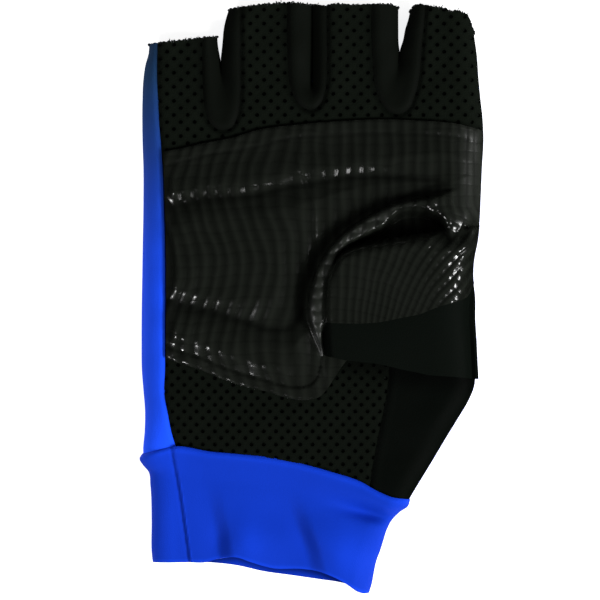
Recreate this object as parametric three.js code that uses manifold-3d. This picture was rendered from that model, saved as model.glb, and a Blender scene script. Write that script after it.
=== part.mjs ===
// Fingerless cycling glove for the right hand, lying on its back with the palm up.
// The thumb sleeve is folded over the palm, with its mouth towards the wrist.
// X runs from the little finger to the thumb side, Y from the wrist to the fingertips, Z up.
// Lengths are in millimetres. The origin is on the surface that the glove lies on, under its middle.
import * as THREE from "three";
import { mergeVertices } from "three/addons/utils/BufferGeometryUtils.js";
import Module from "manifold-3d";

const wasm = await Module();
wasm.setup();

// Cloth and leather
const CLOTH = 1.2; // stretch cloth and open mesh
const CUFF_CLOTH = 1.5; // stretch cloth, doubled at the cuff
const LEATHER = 1.3; // grip leather on its backing
const PAD_RISE = 2.2; // foam between two quilting lines lifts the leather this much
const PAD_SLOPE = 6; // distance from a quilting line over which a pad rises
const GAP = 0.3; // between a piece and what it lies on
const SEAM_GAP = 0.15; // each piece stops this far from a seam line
const SEAM_HEIGHT = 3.4; // height of the seam between the palm side and the back

// How far the shapes that cut and bound the cloth reach past it
const BEYOND = 12;
const PAST_CLOTH = 1;
const OUTSIDE = { left: -60, right: 60, wrist: -100, tips: 100, low: -5, high: 60 };

// How each tube's edges roll over, and how finely it is divided
const HAND = { roll: 11, crown: 0.2, equator: 4.2, top: 24, bottom: 8 };
const FINGER = { roll: 7, crown: 0.25, equator: 3.9, top: 12, bottom: 8 };
const CUFF = { roll: 7, crown: 0.2, equator: 3.4, top: 22, bottom: 8 };
const THUMB = { roll: 8, crown: 0.2, top: 14, bottom: 8 };

// Flattened cross-sections of the hand, from the cuff seam to the roots of the fingers.
// bow bends a section towards the fingers in its middle, and lift raises its lower side.
const handSections = [
  { left: [-53.8, -47.6], right: [31.0, -63.4], bow: 5.2, height: 8.8 },
  { left: [-53.4, -39.0], right: [41.0, -47.4], bow: 3.0, height: 9.8 },
  { left: [-53.8, -30.0], right: [49.4, -33.0], bow: 1.0, height: 10.4 },
  { left: [-54.4, -22.0], right: [52.6, -23.4], height: 10.8 },
  { left: [-54.6, -12.0], right: [51.8, -12.0], height: 11.0 },
  { left: [-54.2, 2.0], right: [50.8, 2.0], height: 11.0 },
  { left: [-54.0, 16.0], right: [51.2, 16.0], height: 11.0 },
  { left: [-53.9, 30.0], right: [52.6, 30.0], height: 10.8 },
  { left: [-54.1, 46.0], right: [53.0, 46.0], height: 10.2 },
  { left: [-54.2, 56.0], right: [53.4, 56.0], height: 9.4 },
  { left: [-53.6, 59.4], right: [52.8, 59.4], height: 7.6, lift: 0.8 },
];

// Cross-sections of each finger, from inside the hand to the open end
const fingerSections = {
  little: [
    { left: [-54.2, 47.0], right: [-28.6, 47.0], height: 8.8 },
    { left: [-54.2, 62.0], right: [-28.7, 62.0], height: 8.8 },
    { left: [-53.4, 74.0], right: [-29.6, 74.4], height: 8.6 },
    { left: [-51.8, 81.0], right: [-30.2, 83.2], bow: 0.4, height: 8.2 },
  ],
  ring: [
    { left: [-28.0, 47.0], right: [-0.5, 47.0], height: 9.0 },
    { left: [-28.1, 62.0], right: [-0.5, 62.0], height: 9.0 },
    { left: [-28.9, 78.0], right: [-0.5, 78.0], height: 8.8 },
    { left: [-28.2, 86.0], right: [-0.6, 87.0], height: 8.6 },
    { left: [-26.3, 92.4], right: [-0.9, 93.6], bow: 0.6, height: 8.2 },
  ],
  middle: [
    { left: [0.1, 47.0], right: [27.8, 47.0], height: 9.0 },
    { left: [0.1, 62.0], right: [27.8, 62.0], height: 9.0 },
    { left: [0.1, 78.0], right: [27.5, 78.0], height: 8.8 },
    { left: [0.3, 93.6], right: [27.0, 93.2], bow: 0.3, height: 8.2 },
  ],
  index: [
    { left: [28.6, 47.0], right: [53.3, 47.0], height: 8.8 },
    { left: [28.6, 62.0], right: [53.2, 62.0], height: 8.8 },
    { left: [28.8, 77.0], right: [52.2, 77.0], height: 8.6 },
    { left: [29.6, 86.0], right: [51.2, 85.6], height: 8.4 },
    { left: [31.4, 93.0], right: [50.6, 90.8], bow: 0.5, height: 8.2 },
  ],
};

// Cross-sections of the cuff, from its open end to the hand.
// wave is the height of the folds on its palm side.
const cuffSections = [
  { left: [-51.0, -83.8], right: [18.2, -94.0], bow: 1.6, height: 8.2, wave: 2.2 },
  { left: [-51.2, -77.0], right: [20.4, -87.0], bow: 1.8, height: 8.3, wave: 1.6 },
  { left: [-51.0, -68.0], right: [23.4, -77.0], bow: 2.6, height: 8.4, wave: 0.6 },
  { left: [-51.4, -58.0], right: [26.8, -70.0], bow: 4.0, height: 8.6, wave: 0 },
  { left: [-53.8, -48.0], right: [31.0, -63.8], bow: 5.2, height: 8.8, wave: 0 },
];
const cuffFolds = { first: -20.5, spacing: 28, width: 5 };
const cuffSeam = [[-42.9, -40], [-43.2, -46.8], [-37.8, -84], [-36.5, -93]];

// The thumb sleeve turns over a hinge line at the lower edge of its hole and lies on the palm.
// angle is how far each cross-section has turned from lying in the palm, depth is its thickness and
// sink is how far it lies below the palm side.
const thumbSections = [
  { left: [9.6, 3.4], right: [49.2, 6.4], angle: 0, depth: 17, sink: 4.5 },
  { left: [9.2, 3.4], right: [50.0, 6.4], angle: 0, depth: 17, sink: 0 },
  { left: [8.4, 3.2], right: [50.8, 6.0], angle: 30, depth: 12.6, sink: 0 },
  { left: [7.8, 2.4], right: [51.4, 5.0], angle: 62, depth: 9.0, sink: 0 },
  { left: [7.2, 0.6], right: [51.8, 2.4], angle: 90, depth: 7.6, sink: 0 },
  { left: [6.2, -8.0], right: [52.3, -11.0], angle: 90, depth: 7.5, sink: 0 },
  { left: [5.2, -17.0], right: [52.8, -24.4], angle: 90, depth: 7.4, sink: 0 },
];
const THUMB_BED = 11.4; // height of the palm side that the sleeve lies on
const THUMB_SIDE_DROP = 3.6; // the sleeve follows the hand's edge down on the thumb side
const THUMB_SIDE_START = 0.45; // share of its width at which it starts to

// Seam lines, seen from above
const sideSeam = [
  [-50.4, 86], [-49.9, 70], [-49.4, 58], [-47.8, 46], [-47.2, 30],
  [-46.8, 0], [-47.4, -26], [-46.0, -36], [-43.2, -46], [-42.0, -56],
];
const gussetSeam = [[24.2, 3], [23.4, -23], [19.8, -45], [15.4, -66]];
const patchTop = [[-46.4, 47.2], [-36.0, 50.2], [-18.0, 54.6], [0, 56.4], [36.0, 56.6], [47, 55], [57, 52.8]];
const patchThumbSide = [[57.0, 16.0], [40.0, 19.0], [16.0, 18.0], [6.4, 8.0], [4.4, -4.0], [3.4, -16.0]];
const patchBottom = [
  [8.4, -19.8], [8.6, -24.6], [2.4, -30.4], [-5.2, -31.4],
  [-15.5, -29.2], [-26.0, -25.2], [-36.0, -22.2], [-46.2, -20.2],
];
const PATCH_EDGE = 1; // the leather stops this far above the seam with the back
const PATCH_ROWS = { from: -40, shares: [0, 1 / 3, 2 / 3], columns: 34 }; // how finely its pads are divided
const thumbPatchHem = [[5.0, -6.2], [12.0, -6.8], [24.0, -5.8], [36.0, -3.2], [46.0, 0.6], [60.0, 7.8]];
const THUMB_ROOT = { tips: 40, below: 3 }; // its leather ends past the fold, this far below the palm side

// Quilting lines sewn through the leather, between its pads. The last one bounds the ridge round the thumb.
const quilting = [
  [[-48, 29.1], [-20, 30.7], [-2.7, 35.5], [22.9, 39.0], [40.8, 39.4]],
  [
    [-48, 0.8], [-38.6, -1.6], [-28.3, -4.8], [-18.1, -8.6], [-7.8, -10.6], [-2.7, -8.6], [0.5, -2.9],
    [-0.2, 6.1], [1.8, 14.4], [6.9, 20.5], [13.3, 25.3], [23.5, 30.4], [37.6, 34.2],
  ],
  [[3.4, -16.0], [4.2, -4.0], [5.6, 8.0], [9.4, 17.4], [17.0, 23.0], [27.0, 27.0], [40.0, 28.4], [57, 27.4]],
];

// Each fourchette runs up one finger's side, round the fork between two fingers and up the next one's side.
// left and right are its reach on the palm side, bottom is its rounded lower end and web is the fork's edge.
const forks = [
  { name: "fourchette_little_ring", x: -28.3, left: 6.4, right: 5.6, bottom: 53.4, web: 75.6 },
  { name: "fourchette_ring_middle", x: -0.2, left: 7.4, right: 4.2, bottom: 59.6, web: 71.0 },
  { name: "fourchette_middle_index", x: 28.2, left: 8.8, right: 7.2, bottom: 58.4, web: 78.4 },
];

// The low cloth between two fingers' roots slopes down from the palm side to the edge of the fork
const WEB_HALF = 7.6;
const webSlope = [
  { before: 24, height: 8.6, lift: 0 },
  { before: 10, height: 7.6, lift: 0 },
  { before: 2, height: 6.2, lift: 0 },
  { before: 0, height: 4.8, lift: 1.4 },
];

const colours = {
  blue: { color: 0x1d48d6, roughness: 0.62 },
  mesh: { color: 0x121413, roughness: 0.9 },
  stretch: { color: 0x101211, roughness: 0.85 },
  leather: { color: 0x1b1d1b, roughness: 0.38 },
};

// Turns a closed three.js geometry into a solid that can be joined and cut
function solidOf(geometry) {
  const bare = geometry.index ? geometry.toNonIndexed() : geometry.clone();
  bare.deleteAttribute("normal");
  bare.deleteAttribute("uv");
  const merged = mergeVertices(bare, 1e-4);
  const build = (triVerts) =>
    new wasm.Manifold(
      new wasm.Mesh({ numProp: 3, vertProperties: merged.attributes.position.array, triVerts }),
    );
  const triangles = new Uint32Array(merged.index.array);
  const made = build(triangles);
  return made.volume() > 0 ? made : build(triangles.reverse());
}

// A named mesh in the given colour, from a solid
function meshOf(name, solid, look) {
  const { vertProperties, triVerts } = solid.getMesh();
  const geometry = new THREE.BufferGeometry();
  geometry.setAttribute("position", new THREE.BufferAttribute(vertProperties, 3));
  geometry.setIndex(new THREE.BufferAttribute(triVerts, 1));
  geometry.computeVertexNormals();
  const mesh = new THREE.Mesh(geometry, new THREE.MeshStandardMaterial({ ...colours[look], metalness: 0 }));
  mesh.name = name;
  return mesh;
}

// Joins closed rings of points into one solid, with a fan over each end
function loft(rings) {
  const points = rings.flat();
  const count = rings[0].length;
  const faces = [];
  for (let r = 0; r + 1 < rings.length; r++)
    for (let i = 0; i < count; i++) {
      const j = (i + 1) % count;
      const [a, b, c, d] = [r * count + i, r * count + j, (r + 1) * count + j, (r + 1) * count + i];
      faces.push(a, b, c, a, c, d);
    }
  const cap = (ring, start, flip) => {
    const middle = ring.reduce((sum, p) => sum.add(p), new THREE.Vector3()).divideScalar(count);
    const centre = points.push(middle) - 1;
    for (let i = 0; i < count; i++) {
      const j = (i + 1) % count;
      faces.push(centre, ...(flip ? [start + j, start + i] : [start + i, start + j]));
    }
  };
  cap(rings[0], 0, true);
  cap(rings.at(-1), (rings.length - 1) * count, false);
  const geometry = new THREE.BufferGeometry().setFromPoints(points);
  geometry.setIndex(faces);
  return solidOf(geometry);
}

// A vertical block over an outline, between two heights
function block(outline, low, high) {
  const shape = new THREE.Shape(outline.map(([x, y]) => new THREE.Vector2(x, y)));
  const geometry = new THREE.ExtrudeGeometry(shape, { depth: high - low, bevelEnabled: false });
  return solidOf(geometry.translate(0, 0, low));
}

// A smooth line through the points of a seam
function smooth(line, steps) {
  const curve = new THREE.SplineCurve(line.map(([x, y]) => new THREE.Vector2(x, y)));
  return curve.getPoints(steps).map((p) => [p.x, p.y]);
}

const shift = (line, dx, dy) => line.map(([x, y]) => [x + dx, y + dy]);

function distanceToLine(x, y, line) {
  let least = Infinity;
  for (let i = 0; i + 1 < line.length; i++) {
    const [ax, ay] = line[i];
    const [dx, dy] = [line[i + 1][0] - ax, line[i + 1][1] - ay];
    const t = Math.min(1, Math.max(0, ((x - ax) * dx + (y - ay) * dy) / (dx * dx + dy * dy)));
    least = Math.min(least, Math.hypot(x - ax - t * dx, y - ay - t * dy));
  }
  return least;
}

// One flattened ring of a tube. grow is how far it lies outside the cloth's outer face, less than 0 inside,
// and rise(x, y) lifts the upper side further.
function ring(section, tube, grow, rise = () => 0) {
  const { left, right, height, bow = 0, lift = 0 } = section;
  const half = Math.hypot(right[0] - left[0], right[1] - left[1]) / 2;
  const stretch = (half + grow) / half;
  const at = (s, upper) => {
    const x = (left[0] + right[0]) / 2 + (s * stretch * (right[0] - left[0])) / 2;
    const y = (left[1] + right[1]) / 2 + (s * stretch * (right[1] - left[1])) / 2 + bow * (1 - s * s);
    const overEdge = Math.max(0, 1 - (1 - Math.abs(s)) * (half / tube.roll));
    const rounded = Math.sqrt(1 - Math.min(1, overEdge) ** 2);
    const domed = (1 - tube.crown) * rounded + tube.crown * (1 - s * s);
    const above = (height - tube.equator + grow) * domed + rise(x, y) * rounded;
    const below = (tube.equator - lift + grow) * rounded;
    return new THREE.Vector3(x, y, tube.equator + (upper ? above : -below));
  };
  const points = [];
  for (let i = 0; i <= tube.top; i++) points.push(at(-Math.cos((Math.PI * i) / tube.top), true));
  for (let i = 1; i < tube.bottom; i++) points.push(at(Math.cos((Math.PI * i) / tube.bottom), false));
  return points;
}

// Moves a section along Y, to reach past an open end
const moved = (section, dy) => ({
  ...section,
  left: [section.left[0], section.left[1] + dy],
  right: [section.right[0], section.right[1] + dy],
});

// The solid within a run of sections, reaching past its ends by the given distances
function tube(sections, shape, grow, { before = 0, after = 0, rise } = {}) {
  const rows = [...sections];
  if (before > 0) rows.unshift(moved(rows[0], -before));
  if (after > 0) rows.push(moved(rows.at(-1), after));
  if (after < 0) rows[rows.length - 1] = moved(rows.at(-1), after);
  return loft(rows.map((row) => ring(row, shape, grow, rise)));
}

const joined = (solids) => solids.reduce((sum, next) => sum.add(next));

const webSections = ({ x, web }) =>
  webSlope.map(({ before, height, lift }) => ({
    left: [x - WEB_HALF, web - before],
    right: [x + WEB_HALF, web - before],
    height,
    lift,
  }));

// The form of the hand and fingers, grown or shrunk, reaching past the wrist and the fingers' open ends
function gloveForm(grow, past = 0) {
  const closed = Math.min(0, grow);
  return joined([
    tube(handSections, HAND, grow, { before: past, after: closed }),
    ...forks.map((fork) => tube(webSections(fork), FINGER, grow, { after: closed })),
    ...Object.values(fingerSections).map((rows) => tube(rows, FINGER, grow, { after: past })),
  ]);
}

// The hand and fingers as one hollow skin
const gloveSkin = () => gloveForm(0).subtract(gloveForm(-CLOTH, BEYOND));

// The palm side: right of the side seam and above the height of the seam with the back
function palmSide(grow) {
  const { right, wrist, tips, high } = OUTSIDE;
  const seam = shift(smooth(sideSeam, 30), -grow, 0);
  return block([...seam, [right, wrist], [right, tips], [seam[0][0], tips]], SEAM_HEIGHT - grow, high);
}

// The gusset's region: right of its seam and from below the thumb down to the cuff
function gussetSide(grow) {
  const { right, wrist, low, high } = OUTSIDE;
  const seam = shift(smooth(gussetSeam, 12), -grow, 0);
  const top = gussetSeam[0][1] + grow;
  return block([[right, top], [seam[0][0], top], ...seam.slice(1), [right, wrist]], low, high);
}

// The tongue-shaped region of one fourchette
function forkRegion(fork, grow) {
  const [left, right] = [fork.x - fork.left - grow, fork.x + fork.right + grow];
  const radius = (right - left) / 2;
  const end = new THREE.Path();
  end.absarc((left + right) / 2, fork.bottom - grow + radius, radius, Math.PI, 2 * Math.PI);
  const rounded = end.getPoints(10).map((p) => [p.x, p.y]);
  return block([[right, OUTSIDE.tips], [left, OUTSIDE.tips], ...rounded], OUTSIDE.low, OUTSIDE.high);
}

// One cross-section of the thumb sleeve, turned about its hinge line
function thumbRing(section, grow) {
  const { left, right, angle, depth, sink } = section;
  const turn = THREE.MathUtils.degToRad(angle);
  const flat = ring({ left, right, height: depth }, { ...THUMB, equator: depth / 2 }, grow);
  return flat.map((p) => {
    const across = (p.x - left[0]) / (right[0] - left[0]);
    const beyond = Math.max(0, (across - THUMB_SIDE_START) / (1 - THUMB_SIDE_START));
    const down = sink + THUMB_SIDE_DROP * beyond * beyond;
    return new THREE.Vector3(p.x, p.y + p.z * Math.cos(turn), THUMB_BED - down + p.z * Math.sin(turn));
  });
}

// The form of the thumb sleeve, grown or shrunk, reaching past its mouth
function thumbTube(grow, openBy = 0) {
  const rows = [...thumbSections];
  if (openBy > 0) rows.push(moved(rows.at(-1), -openBy));
  return loft(rows.map((row) => thumbRing(row, grow)));
}

// How far foam lifts the leather: nothing on a quilting line or an edge, all of it in the middle of a pad
const quiltingLines = [...quilting, patchTop, patchBottom].map((line) => smooth(line, 24));
function padRise(x, y) {
  const nearest = Math.min(...quiltingLines.map((line) => distanceToLine(x, y, line)));
  return PAD_RISE * THREE.MathUtils.smoothstep(nearest, 0, PAD_SLOPE);
}

// A section part of the way from one to the next
function between(from, to, share) {
  const mix = (p = 0, q = 0) => p + (q - p) * share;
  return {
    left: from.left.map((v, i) => mix(v, to.left[i])),
    right: from.right.map((v, i) => mix(v, to.right[i])),
    bow: mix(from.bow, to.bow),
    height: mix(from.height, to.height),
  };
}

// The leather on the palm, with its pads, up to the root of the thumb sleeve
function palmPatch(overThumb) {
  const start = handSections.findIndex(({ left }) => left[1] > PATCH_ROWS.from);
  const rows = handSections.slice(start, -1).flatMap((row, i) => {
    const next = handSections[start + i + 1];
    return PATCH_ROWS.shares.map((share) => between(row, next, share));
  });
  const shape = { ...HAND, top: PATCH_ROWS.columns };
  const leather = tube(rows, shape, GAP + LEATHER, { rise: padRise }).subtract(gloveForm(GAP, PAST_CLOTH));
  const outline = [...smooth(patchTop, 20), ...smooth(patchThumbSide, 24), ...smooth(patchBottom, 20)];
  return leather.intersect(block(outline, SEAM_HEIGHT + PATCH_EDGE, OUTSIDE.high)).subtract(overThumb);
}

// The leather on the thumb sleeve, from the fold at its root to its curved hem
function thumbPatch(onHand) {
  const skin = thumbTube(GAP + LEATHER).subtract(thumbTube(GAP, PAST_CLOTH));
  const root = [[OUTSIDE.right, THUMB_ROOT.tips], [thumbPatchHem[0][0], THUMB_ROOT.tips]];
  const outline = [...smooth(thumbPatchHem, 16), ...root];
  return skin.intersect(block(outline, THUMB_BED - THUMB_ROOT.below, OUTSIDE.high)).subtract(onHand);
}

// The cuff, a doubled band with two soft folds, closed by one seam on the palm side
function cuffBand() {
  const fold = ({ wave }) => (x) => {
    const hump = (middle) => Math.exp(-(((x - middle) / cuffFolds.width) ** 2));
    return wave * (hump(cuffFolds.first) + hump(cuffFolds.first + cuffFolds.spacing));
  };
  const band = (grow, rows) => loft(rows.map((row) => ring(row, CUFF, grow, fold(row))));
  const past = [moved(cuffSections[0], -BEYOND), ...cuffSections, moved(cuffSections.at(-1), BEYOND)];
  const slit = block([...cuffSeam, ...shift(cuffSeam, GAP, 0).reverse()], SEAM_HEIGHT, OUTSIDE.high);
  return band(0, cuffSections).subtract(band(-CUFF_CLOTH, past)).subtract(slit);
}

function buildGlove() {
  const skin = gloveSkin();
  const palm = skin.intersect(palmSide(-SEAM_GAP));
  const onHand = gloveForm(GAP, PAST_CLOTH);
  const thumbHole = thumbTube(-CLOTH, BEYOND);
  const gussetCut = gussetSide(SEAM_GAP);
  const forkCuts = joined(forks.map((fork) => forkRegion(fork, SEAM_GAP)));
  const overThumb = thumbTube(2 * GAP + LEATHER, PAST_CLOTH);

  const glove = new THREE.Group();
  glove.add(meshOf("back_panel", skin.subtract(palmSide(SEAM_GAP)), "blue"));
  glove.add(meshOf("palm_mesh", palm.subtract(forkCuts).subtract(gussetCut).subtract(thumbHole), "mesh"));
  glove.add(meshOf("wrist_gusset", palm.intersect(gussetSide(-SEAM_GAP)).subtract(thumbHole), "stretch"));
  for (const fork of forks) {
    glove.add(meshOf(fork.name, palm.intersect(forkRegion(fork, -SEAM_GAP)), "stretch"));
  }
  glove.add(meshOf("palm_patch", palmPatch(overThumb), "leather"));
  glove.add(meshOf("thumb_sleeve", thumbTube(0).subtract(thumbHole).subtract(onHand), "stretch"));
  glove.add(meshOf("thumb_patch", thumbPatch(onHand), "leather"));
  glove.add(meshOf("cuff", cuffBand(), "blue"));
  return glove;
}

export default buildGlove();
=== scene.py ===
"""Looks of a fingerless cycling glove that lies on its back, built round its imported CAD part."""

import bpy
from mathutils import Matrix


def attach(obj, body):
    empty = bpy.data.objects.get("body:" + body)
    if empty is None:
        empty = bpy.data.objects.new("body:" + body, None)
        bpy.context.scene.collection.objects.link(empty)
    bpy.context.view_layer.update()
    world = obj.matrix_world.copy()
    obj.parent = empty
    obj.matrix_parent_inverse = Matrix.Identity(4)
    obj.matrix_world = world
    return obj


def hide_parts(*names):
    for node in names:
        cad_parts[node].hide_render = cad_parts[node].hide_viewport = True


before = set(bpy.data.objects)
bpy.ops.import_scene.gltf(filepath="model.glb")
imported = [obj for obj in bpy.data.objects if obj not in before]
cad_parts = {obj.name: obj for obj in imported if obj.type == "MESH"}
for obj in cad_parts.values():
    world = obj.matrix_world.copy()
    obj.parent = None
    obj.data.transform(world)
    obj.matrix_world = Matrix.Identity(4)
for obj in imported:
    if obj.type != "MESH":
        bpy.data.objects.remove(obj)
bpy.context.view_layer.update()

import math

import bpy
import numpy as np
from bpy.props import FloatProperty, FloatVectorProperty, PointerProperty

bl_info = {
    "name": "Fingerless cycling glove",
    "version": (1, 0, 0),
    "blender": (4, 5, 0),
    "location": "View3D > Sidebar > Glove",
    "description": "Builds the cloth, mesh and leather of a fingerless cycling glove",
    "category": "Object",
}

# Lengths in the tables are in millimetres: X to the thumb side, Y to the fingertips, Z up.
MM = 0.001
ROOT_Y = 50.7  # below this line the fingers' sides are shares of the hand's width
EQUATOR = 4.0  # height of the seam round the glove's outline
LAP = 1.4  # how far the hand reaches in under the cuff
HEEL_Y = 20.0  # below this line the mesh is closer
SEAM_GAP = 0.02  # between the edges of two cloths that are sewn together
HAND_EDGE = 0.05  # the hand's own height is read this far inside its outline
OUTER_ROLL = 8.0  # how wide the cloth rolls over the hand's outer edges
PALM_ROLL = 6.5  # how wide it rolls down between two fingers on the palm side
BACK_ROLL = 5.5  # how wide it rolls up between them on the back
SECTION_LENGTHS = (106, 25, 17)  # of a finger's strip: to the finger roots, to the forks, to the open end
SECTION_ENDS = (-52.0, 74.0, 92.0)  # y where the cuff, the forks and the open ends are looked for first
MEETING_TURNS = 8  # how often a row is moved half the way to the line that it is to lie on
WELD_STEPS = 500  # to the millimetre: points on the same step are one
PRINT_LENGTH = 140.0  # over which the back's print fades, along Y
PRINT_LOW = 50.0  # how far below the middle the fade begins
CAMERA_AT = (-3.97, -0.48)  # the camera stands straight above this point

# Outline of the hand, as (y, x)
HAND_LEFT = [
    (-54.9, -53.4), (-48.5, -54.0), (-42.1, -53.5), (-35.7, -53.4), (-29.3, -53.9), (-22.9, -54.4),
    (-13.3, -54.5), (12.3, -54.2), (31.5, -53.9), (41.1, -53.9), (50.7, -54.2), (63.5, -54.2),
    (69.9, -53.9), (74.7, -53.2), (77.9, -52.3), (81.1, -52.0), (84.0, -51.8),
]
HAND_RIGHT = [
    (-70.9, 27.4), (-64.5, 30.6), (-58.1, 34.4), (-51.7, 38.3), (-45.3, 42.1), (-38.9, 46.0),
    (-32.5, 49.8), (-28.0, 51.6), (-22.9, 51.9), (-13.3, 51.4), (-0.5, 50.8), (7.5, 50.8),
    (12.3, 51.4), (18.7, 52.7), (25.1, 53.3), (31.5, 53.6), (41.1, 54.0), (50.7, 54.5),
    (57.1, 54.3), (63.5, 53.6), (69.9, 53.0), (77.9, 52.4), (83.0, 51.7), (89.1, 51.1),
]

# The facing sides of each two fingers, as (y, x). They are one line up to the fork between them.
CREASES = (
    (
        [(50.7, -27.6), (53.9, -27.6), (63.5, -28.3), (69.9, -28.9), (75.7, -29.3), (81.1, -30.2),
         (85.9, -30.4)],
        [(50.7, -27.6), (53.9, -27.6), (63.5, -28.3), (69.9, -28.9), (75.7, -29.3), (79.5, -28.9),
         (82.7, -28.6), (85.9, -28.3), (89.1, -27.6), (93.0, -26.4)],
    ),
    (
        [(50.7, 0.0), (60.3, 0.0), (69.3, -0.1), (76.3, 0.0), (85.9, 0.05), (95.5, 0.05)],
        [(50.7, 0.0), (60.3, 0.0), (69.3, -0.1), (76.3, -0.05), (85.9, -0.05), (95.5, -0.05)],
    ),
    (
        [(50.7, 23.6), (57.1, 23.6), (62.2, 23.9), (66.7, 25.5), (71.5, 26.8), (76.3, 27.7),
         (78.6, 27.8), (81.1, 27.5), (85.9, 27.4), (95.5, 27.4)],
        [(50.7, 23.6), (57.1, 23.6), (62.2, 23.9), (66.7, 25.5), (71.5, 26.8), (76.3, 27.7),
         (78.6, 27.8), (82.7, 29.0), (85.9, 29.6), (89.1, 30.6), (91.7, 31.2), (93.0, 31.6),
         (95.5, 32.2)],
    ),
)
FORK_Y = (75.7, 69.3, 78.6)
CREASE_START = (57.0, 61.0, 61.0)  # where each crease begins to sink
FORK_LINE = [(-60, 75.7), (-29.3, 75.7), (-0.1, 69.3), (27.8, 78.6), (60, 78.6)]

# Open ends of the fingers, as (x, y)
FINGER_ENDS = (
    [(-52.2, 80.9), (-48.0, 81.4), (-45.6, 81.6), (-39.2, 82.3), (-30.2, 83.5)],
    [(-27.2, 91.9), (-23.2, 92.6), (-15.5, 93.6), (-7.8, 94.1), (-4.0, 93.9), (-0.2, 93.6)],
    [(0.2, 93.6), (3.7, 93.0), (7.6, 93.7), (13.3, 93.3), (19.1, 93.6), (24.8, 93.6), (27.4, 92.7)],
    [(30.9, 91.0), (32.2, 93.2), (34.4, 93.6), (38.3, 92.8), (42.1, 92.4), (44.0, 91.2), (46.0, 91.8),
     (47.9, 90.9), (49.2, 90.5), (50.4, 88.2), (51.9, 83.0)],
)

# Seams on the palm side, as (x, y)
SIDE_SEAM = [
    (-49.0, 98.0), (-49.1, 85.9), (-49.3, 81.1), (-49.4, 76.3), (-49.4, 69.9), (-49.1, 63.5), (-48.8, 57.1),
    (-48.3, 50.7), (-47.8, 44.3), (-47.3, 31.5), (-46.8, 12.3), (-46.8, -10.1), (-46.8, -22.9),
    (-47.0, -30.9), (-46.0, -36.3), (-44.9, -42.1), (-43.0, -48.5), (-41.1, -54.9), (-40.0, -60.0),
]
FORK_SEAMS = (
    [(-35.0, 100), (-35.0, 85.9), (-35.0, 76.3), (-34.7, 66.7), (-34.0, 59.7), (-32.4, 55.5), (-28.9, 53.3),
     (-25.7, 54.2), (-23.8, 57.8), (-22.8, 65.1), (-22.8, 76.3), (-22.8, 85.9), (-22.5, 100)],
    [(-7.8, 100), (-8.1, 85.9), (-7.8, 76.3), (-7.2, 68.3), (-5.2, 62.9), (-2.0, 60.0), (0.5, 60.0),
     (2.8, 62.2), (4.4, 67.4), (4.7, 76.3), (4.7, 85.9), (4.7, 100)],
    [(19.1, 100), (18.8, 85.9), (19.1, 76.3), (19.7, 68.3), (21.6, 62.6), (24.8, 59.0), (27.7, 58.4),
     (30.6, 60.3), (32.8, 65.1), (34.1, 71.5), (34.8, 79.5), (35.7, 89.1), (36.4, 100)],
)
GUSSET_SEAM = [
    (26.1, 8.0), (24.8, -13.3), (23.9, -27.7), (22.9, -34.1), (21.6, -40.2), (20.0, -48.5),
    (18.4, -58.1), (17.8, -70.0),
]

# Outline, seams and quilting of the leather, as (x, y)
PATCH_TOP = [
    (-52.0, 46.0), (-43.6, 47.2), (-33.7, 49.4), (-25.4, 51.0), (-18.0, 53.3), (-4.0, 55.2),
    (8.5, 56.2), (21.6, 56.8), (34.4, 56.4), (45.0, 55.5), (53.3, 53.6), (60.0, 52.0),
]
PATCH_BAND = [
    (-52.0, 40.8), (-39.2, 43.7), (-33.1, 45.3), (-18.0, 47.8), (-8.1, 50.4), (5.6, 51.4), (21.6, 52.0),
    (37.6, 51.7), (45.0, 51.0), (53.3, 49.4), (60.0, 48.2),
]
PATCH_BOTTOM = [
    (-50.0, -17.6), (-43.6, -20.0), (-35.6, -22.6), (-28.0, -25.8), (-22.2, -27.7), (-14.2, -29.6),
    (-8.1, -31.5), (-4.0, -32.2), (2.1, -31.2), (4.7, -28.6), (6.3, -26.1), (9.5, -21.3), (12.7, -17.1),
    (14.0, -8.0), (16.0, 8.0), (30.0, 10.0), (58.0, 10.0),
]
BOTTOM_BAND = [
    (-50.0, -14.0), (-43.6, -16.5), (-35.6, -19.0), (-28.0, -22.2), (-22.2, -24.2), (-14.2, -26.4),
    (-8.1, -28.0), (-4.0, -28.3), (0.5, -26.7), (2.4, -22.9), (3.1, -18.4),
]
GROOVE_1 = [
    (-52.0, 29.0), (-44.6, 29.3), (-33.7, 31.2), (-18.0, 32.5), (-12.6, 33.8), (-4.9, 35.7),
    (0.2, 36.3), (13.0, 38.2), (28.0, 38.2), (39.6, 37.3),
]
GROOVE_2 = [
    (-52.0, -0.5), (-44.6, -1.4), (-38.2, -3.0), (-28.0, -5.6), (-21.9, -7.5), (-18.0, -8.8),
    (-12.0, -10.1), (-6.8, -9.1), (-4.3, -6.2), (-2.0, -2.1), (-1.1, 4.3), (1.8, 11.7), (6.6, 18.1),
    (12.0, 23.2), (20.0, 28.3), (28.0, 31.8), (36.0, 34.7), (40.8, 36.3),
]

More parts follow.
